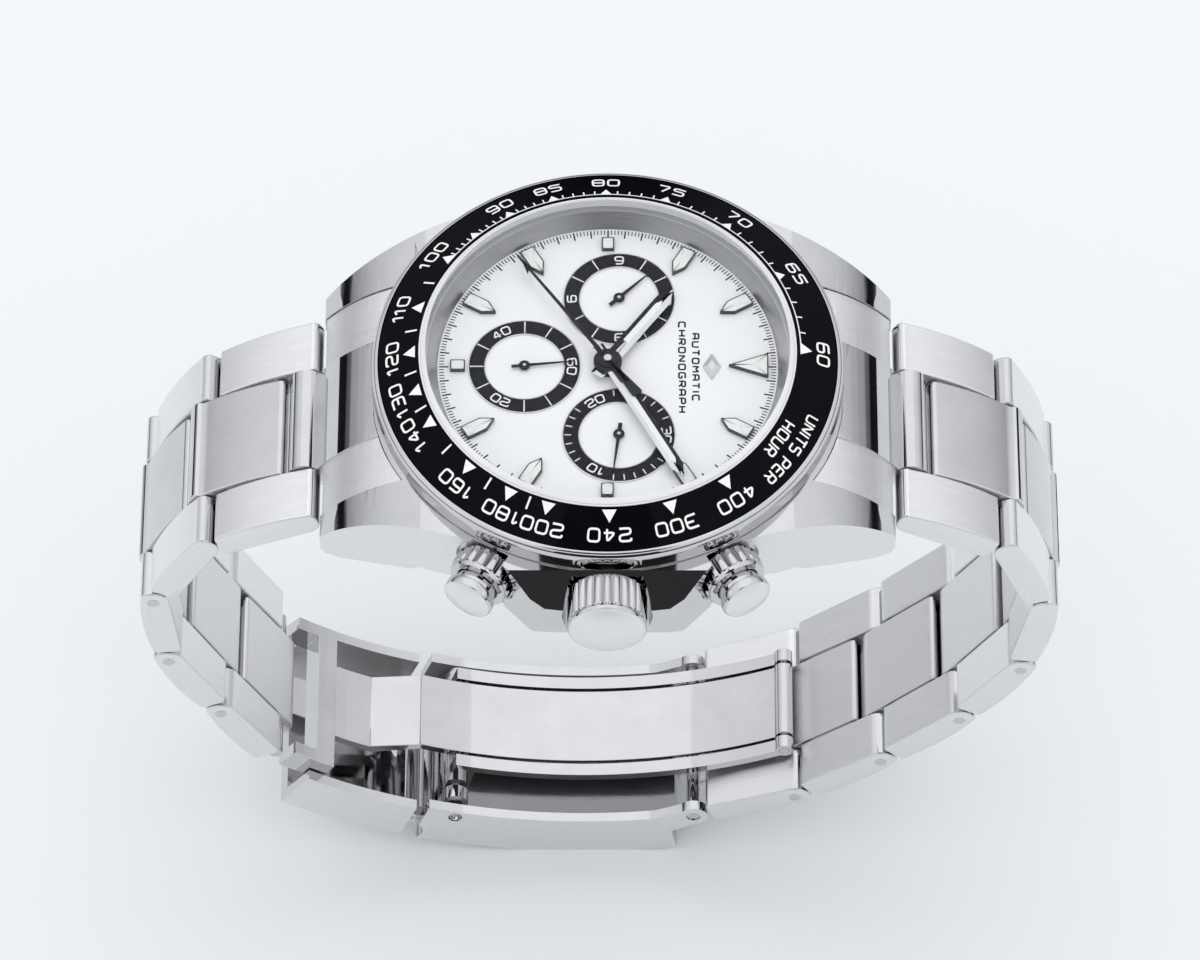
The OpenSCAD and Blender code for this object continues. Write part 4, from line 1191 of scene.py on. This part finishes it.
def build_stage():
    """Pale floor, a camera, soft lights and dark cards that only the polished steel reflects."""
    made, place = begin("pale_floor")
    drift = place.noise(3.0, 2.0)
    floor_finish = end(made, place, {"Base Color": drift.blend((0.84, 0.86, 0.885), (0.86, 0.88, 0.9)),
                                     "Roughness": 0.65 + 0.1 * drift, "Specular IOR Level": 0.0})
    floor = flat_card("floor", (0, 0, 0), (1.4, 1.4), floor_finish)
    dark, place = begin("dark_card")
    dark_finish = end(dark, place, {"Base Color": place.noise(40.0).blend((0.004,) * 3, (0.008,) * 3),
                                    "Roughness": 0.9})
    for name, half, foot, top in (("front_strip", 0.22, 0.02, 0.42), ("camera_side", 0.4, 0.85, 2.3)):
        across = np.array([-1, 1, 1, -1]) * half
        tall = np.array([foot, foot, top, top])
        card = card_from(name, np.column_stack([np.full(4, CARD_X), across, tall]), dark_finish)
        card.visible_camera = False
        card.visible_diffuse = False
        card.visible_shadow = False
    build_camera()
    build_lights()


def flat_card(name, middle, size, finish):
    """Level rectangle, size in metres along X and Y."""
    corners = np.array([(-1, -1, 0), (1, -1, 0), (1, 1, 0), (-1, 1, 0)]) * (size[0] / 2, size[1] / 2, 1)
    return card_from(name, corners + middle, finish)


def card_from(name, corners, finish):
    """Four corners in metres as one flat card."""
    mesh = bpy.data.meshes.new(name)
    mesh.from_pydata(corners.tolist(), [], [(0, 1, 2, 3)])
    mesh.materials.append(finish)
    card = bpy.data.objects.new(name, mesh)
    bpy.context.scene.collection.objects.link(card)
    return card


def build_camera():
    """Long lens from beyond the crown, 56 degrees above the floor, with 12 o'clock on the right."""
    down, turn, roll = (math.radians(v) for v in (55.6965, 0.4016, -0.3058))
    ahead = np.array([-math.cos(down) * math.cos(turn), -math.cos(down) * math.sin(turn), -math.sin(down)])
    right = np.array([-math.sin(turn), math.cos(turn), 0])
    up = np.cross(right, ahead)
    level_right = math.cos(roll) * right + math.sin(roll) * up
    level_up = math.cos(roll) * up - math.sin(roll) * right
    lens = bpy.data.cameras.new("camera")
    lens.sensor_width = 36
    lens.lens = 233.344
    lens.clip_start = 0.01
    lens.clip_end = 20
    camera = bpy.data.objects.new("camera", lens)
    columns = np.column_stack([level_right, level_up, -ahead])
    camera.matrix_world = Matrix.Translation((0.3765, 0.00194, 0.599)) @ Matrix(columns.tolist()).to_4x4()
    bpy.context.scene.collection.objects.link(camera)
    bpy.context.scene.camera = camera


def soft_light(name, place, aim, size, power):
    """Rectangular soft light at a place, facing a point; lengths in metres, power in watts."""
    data = bpy.data.lights.new(name, "AREA")
    data.shape = "RECTANGLE"
    data.size, data.size_y = size
    data.energy = power
    lamp = bpy.data.objects.new(name, data)
    turn = (Vector(aim) - Vector(place)).to_track_quat("-Z", "Y")
    lamp.matrix_world = Matrix.Translation(place) @ turn.to_matrix().to_4x4()
    bpy.context.scene.collection.objects.link(lamp)


def build_lights():
    """White surround that darkens towards the horizon, with a broad light overhead and one at each side."""
    world = bpy.data.worlds.new("studio")
    bpy.context.scene.world = world
    world.use_nodes = True
    tree = world.node_tree
    tree.nodes.clear()
    coordinates = tree.nodes.new("ShaderNodeTexCoord")
    direction = Wire(tree, coordinates.outputs["Generated"])
    height = direction.add("ShaderNodeSeparateXYZ", {}, {"Vector": direction}, out=2)
    level = (height * 0.5 + 0.5).ramp([
        (0.0, (0.9, 0.92, 0.95)), (0.44, (0.9, 0.92, 0.95)), (0.475, (0.01, 0.01, 0.012)),
        (0.518, (0.01, 0.01, 0.012)), (0.55, (0.4, 0.41, 0.43)), (0.66, (0.75, 0.76, 0.78)),
        (0.78, (0.98, 0.99, 1.02)), (0.9, (1.05, 1.07, 1.1)),
    ])
    glossy = direction.add("ShaderNodeLightPath", out="Is Glossy Ray")
    fill = glossy.add("ShaderNodeBackground", {}, {"Color": (0.98, 0.985, 0.995, 1), "Strength": 1.05})
    mirrored = glossy.add("ShaderNodeBackground", {}, {"Color": level, "Strength": 1.0})
    seen = glossy.add("ShaderNodeMixShader", {}, {"Fac": glossy, 1: fill, 2: mirrored})
    glossy.add("ShaderNodeOutputWorld", {}, {"Surface": seen})
    soft_light("overhead", (-0.25, 0.0, 0.75), (0, 0, 0.03), (0.7, 0.9), 0.35)
    soft_light("left_side", (0.15, -0.75, 0.35), (0, 0, 0.04), (0.5, 0.35), 0.15)
    soft_light("right_side", (0.15, 0.75, 0.35), (0, 0, 0.04), (0.5, 0.35), 0.15)
    view = bpy.context.scene.view_settings
    view.view_transform = "Standard"
    view.look = "None"


build_bezel()
build_crystal()
build_dial()
build_markers()
build_hands()
build_crown()
build_pushers()
build_bracelet()
build_case()
build_clasp()
build_movement()
build_stage()
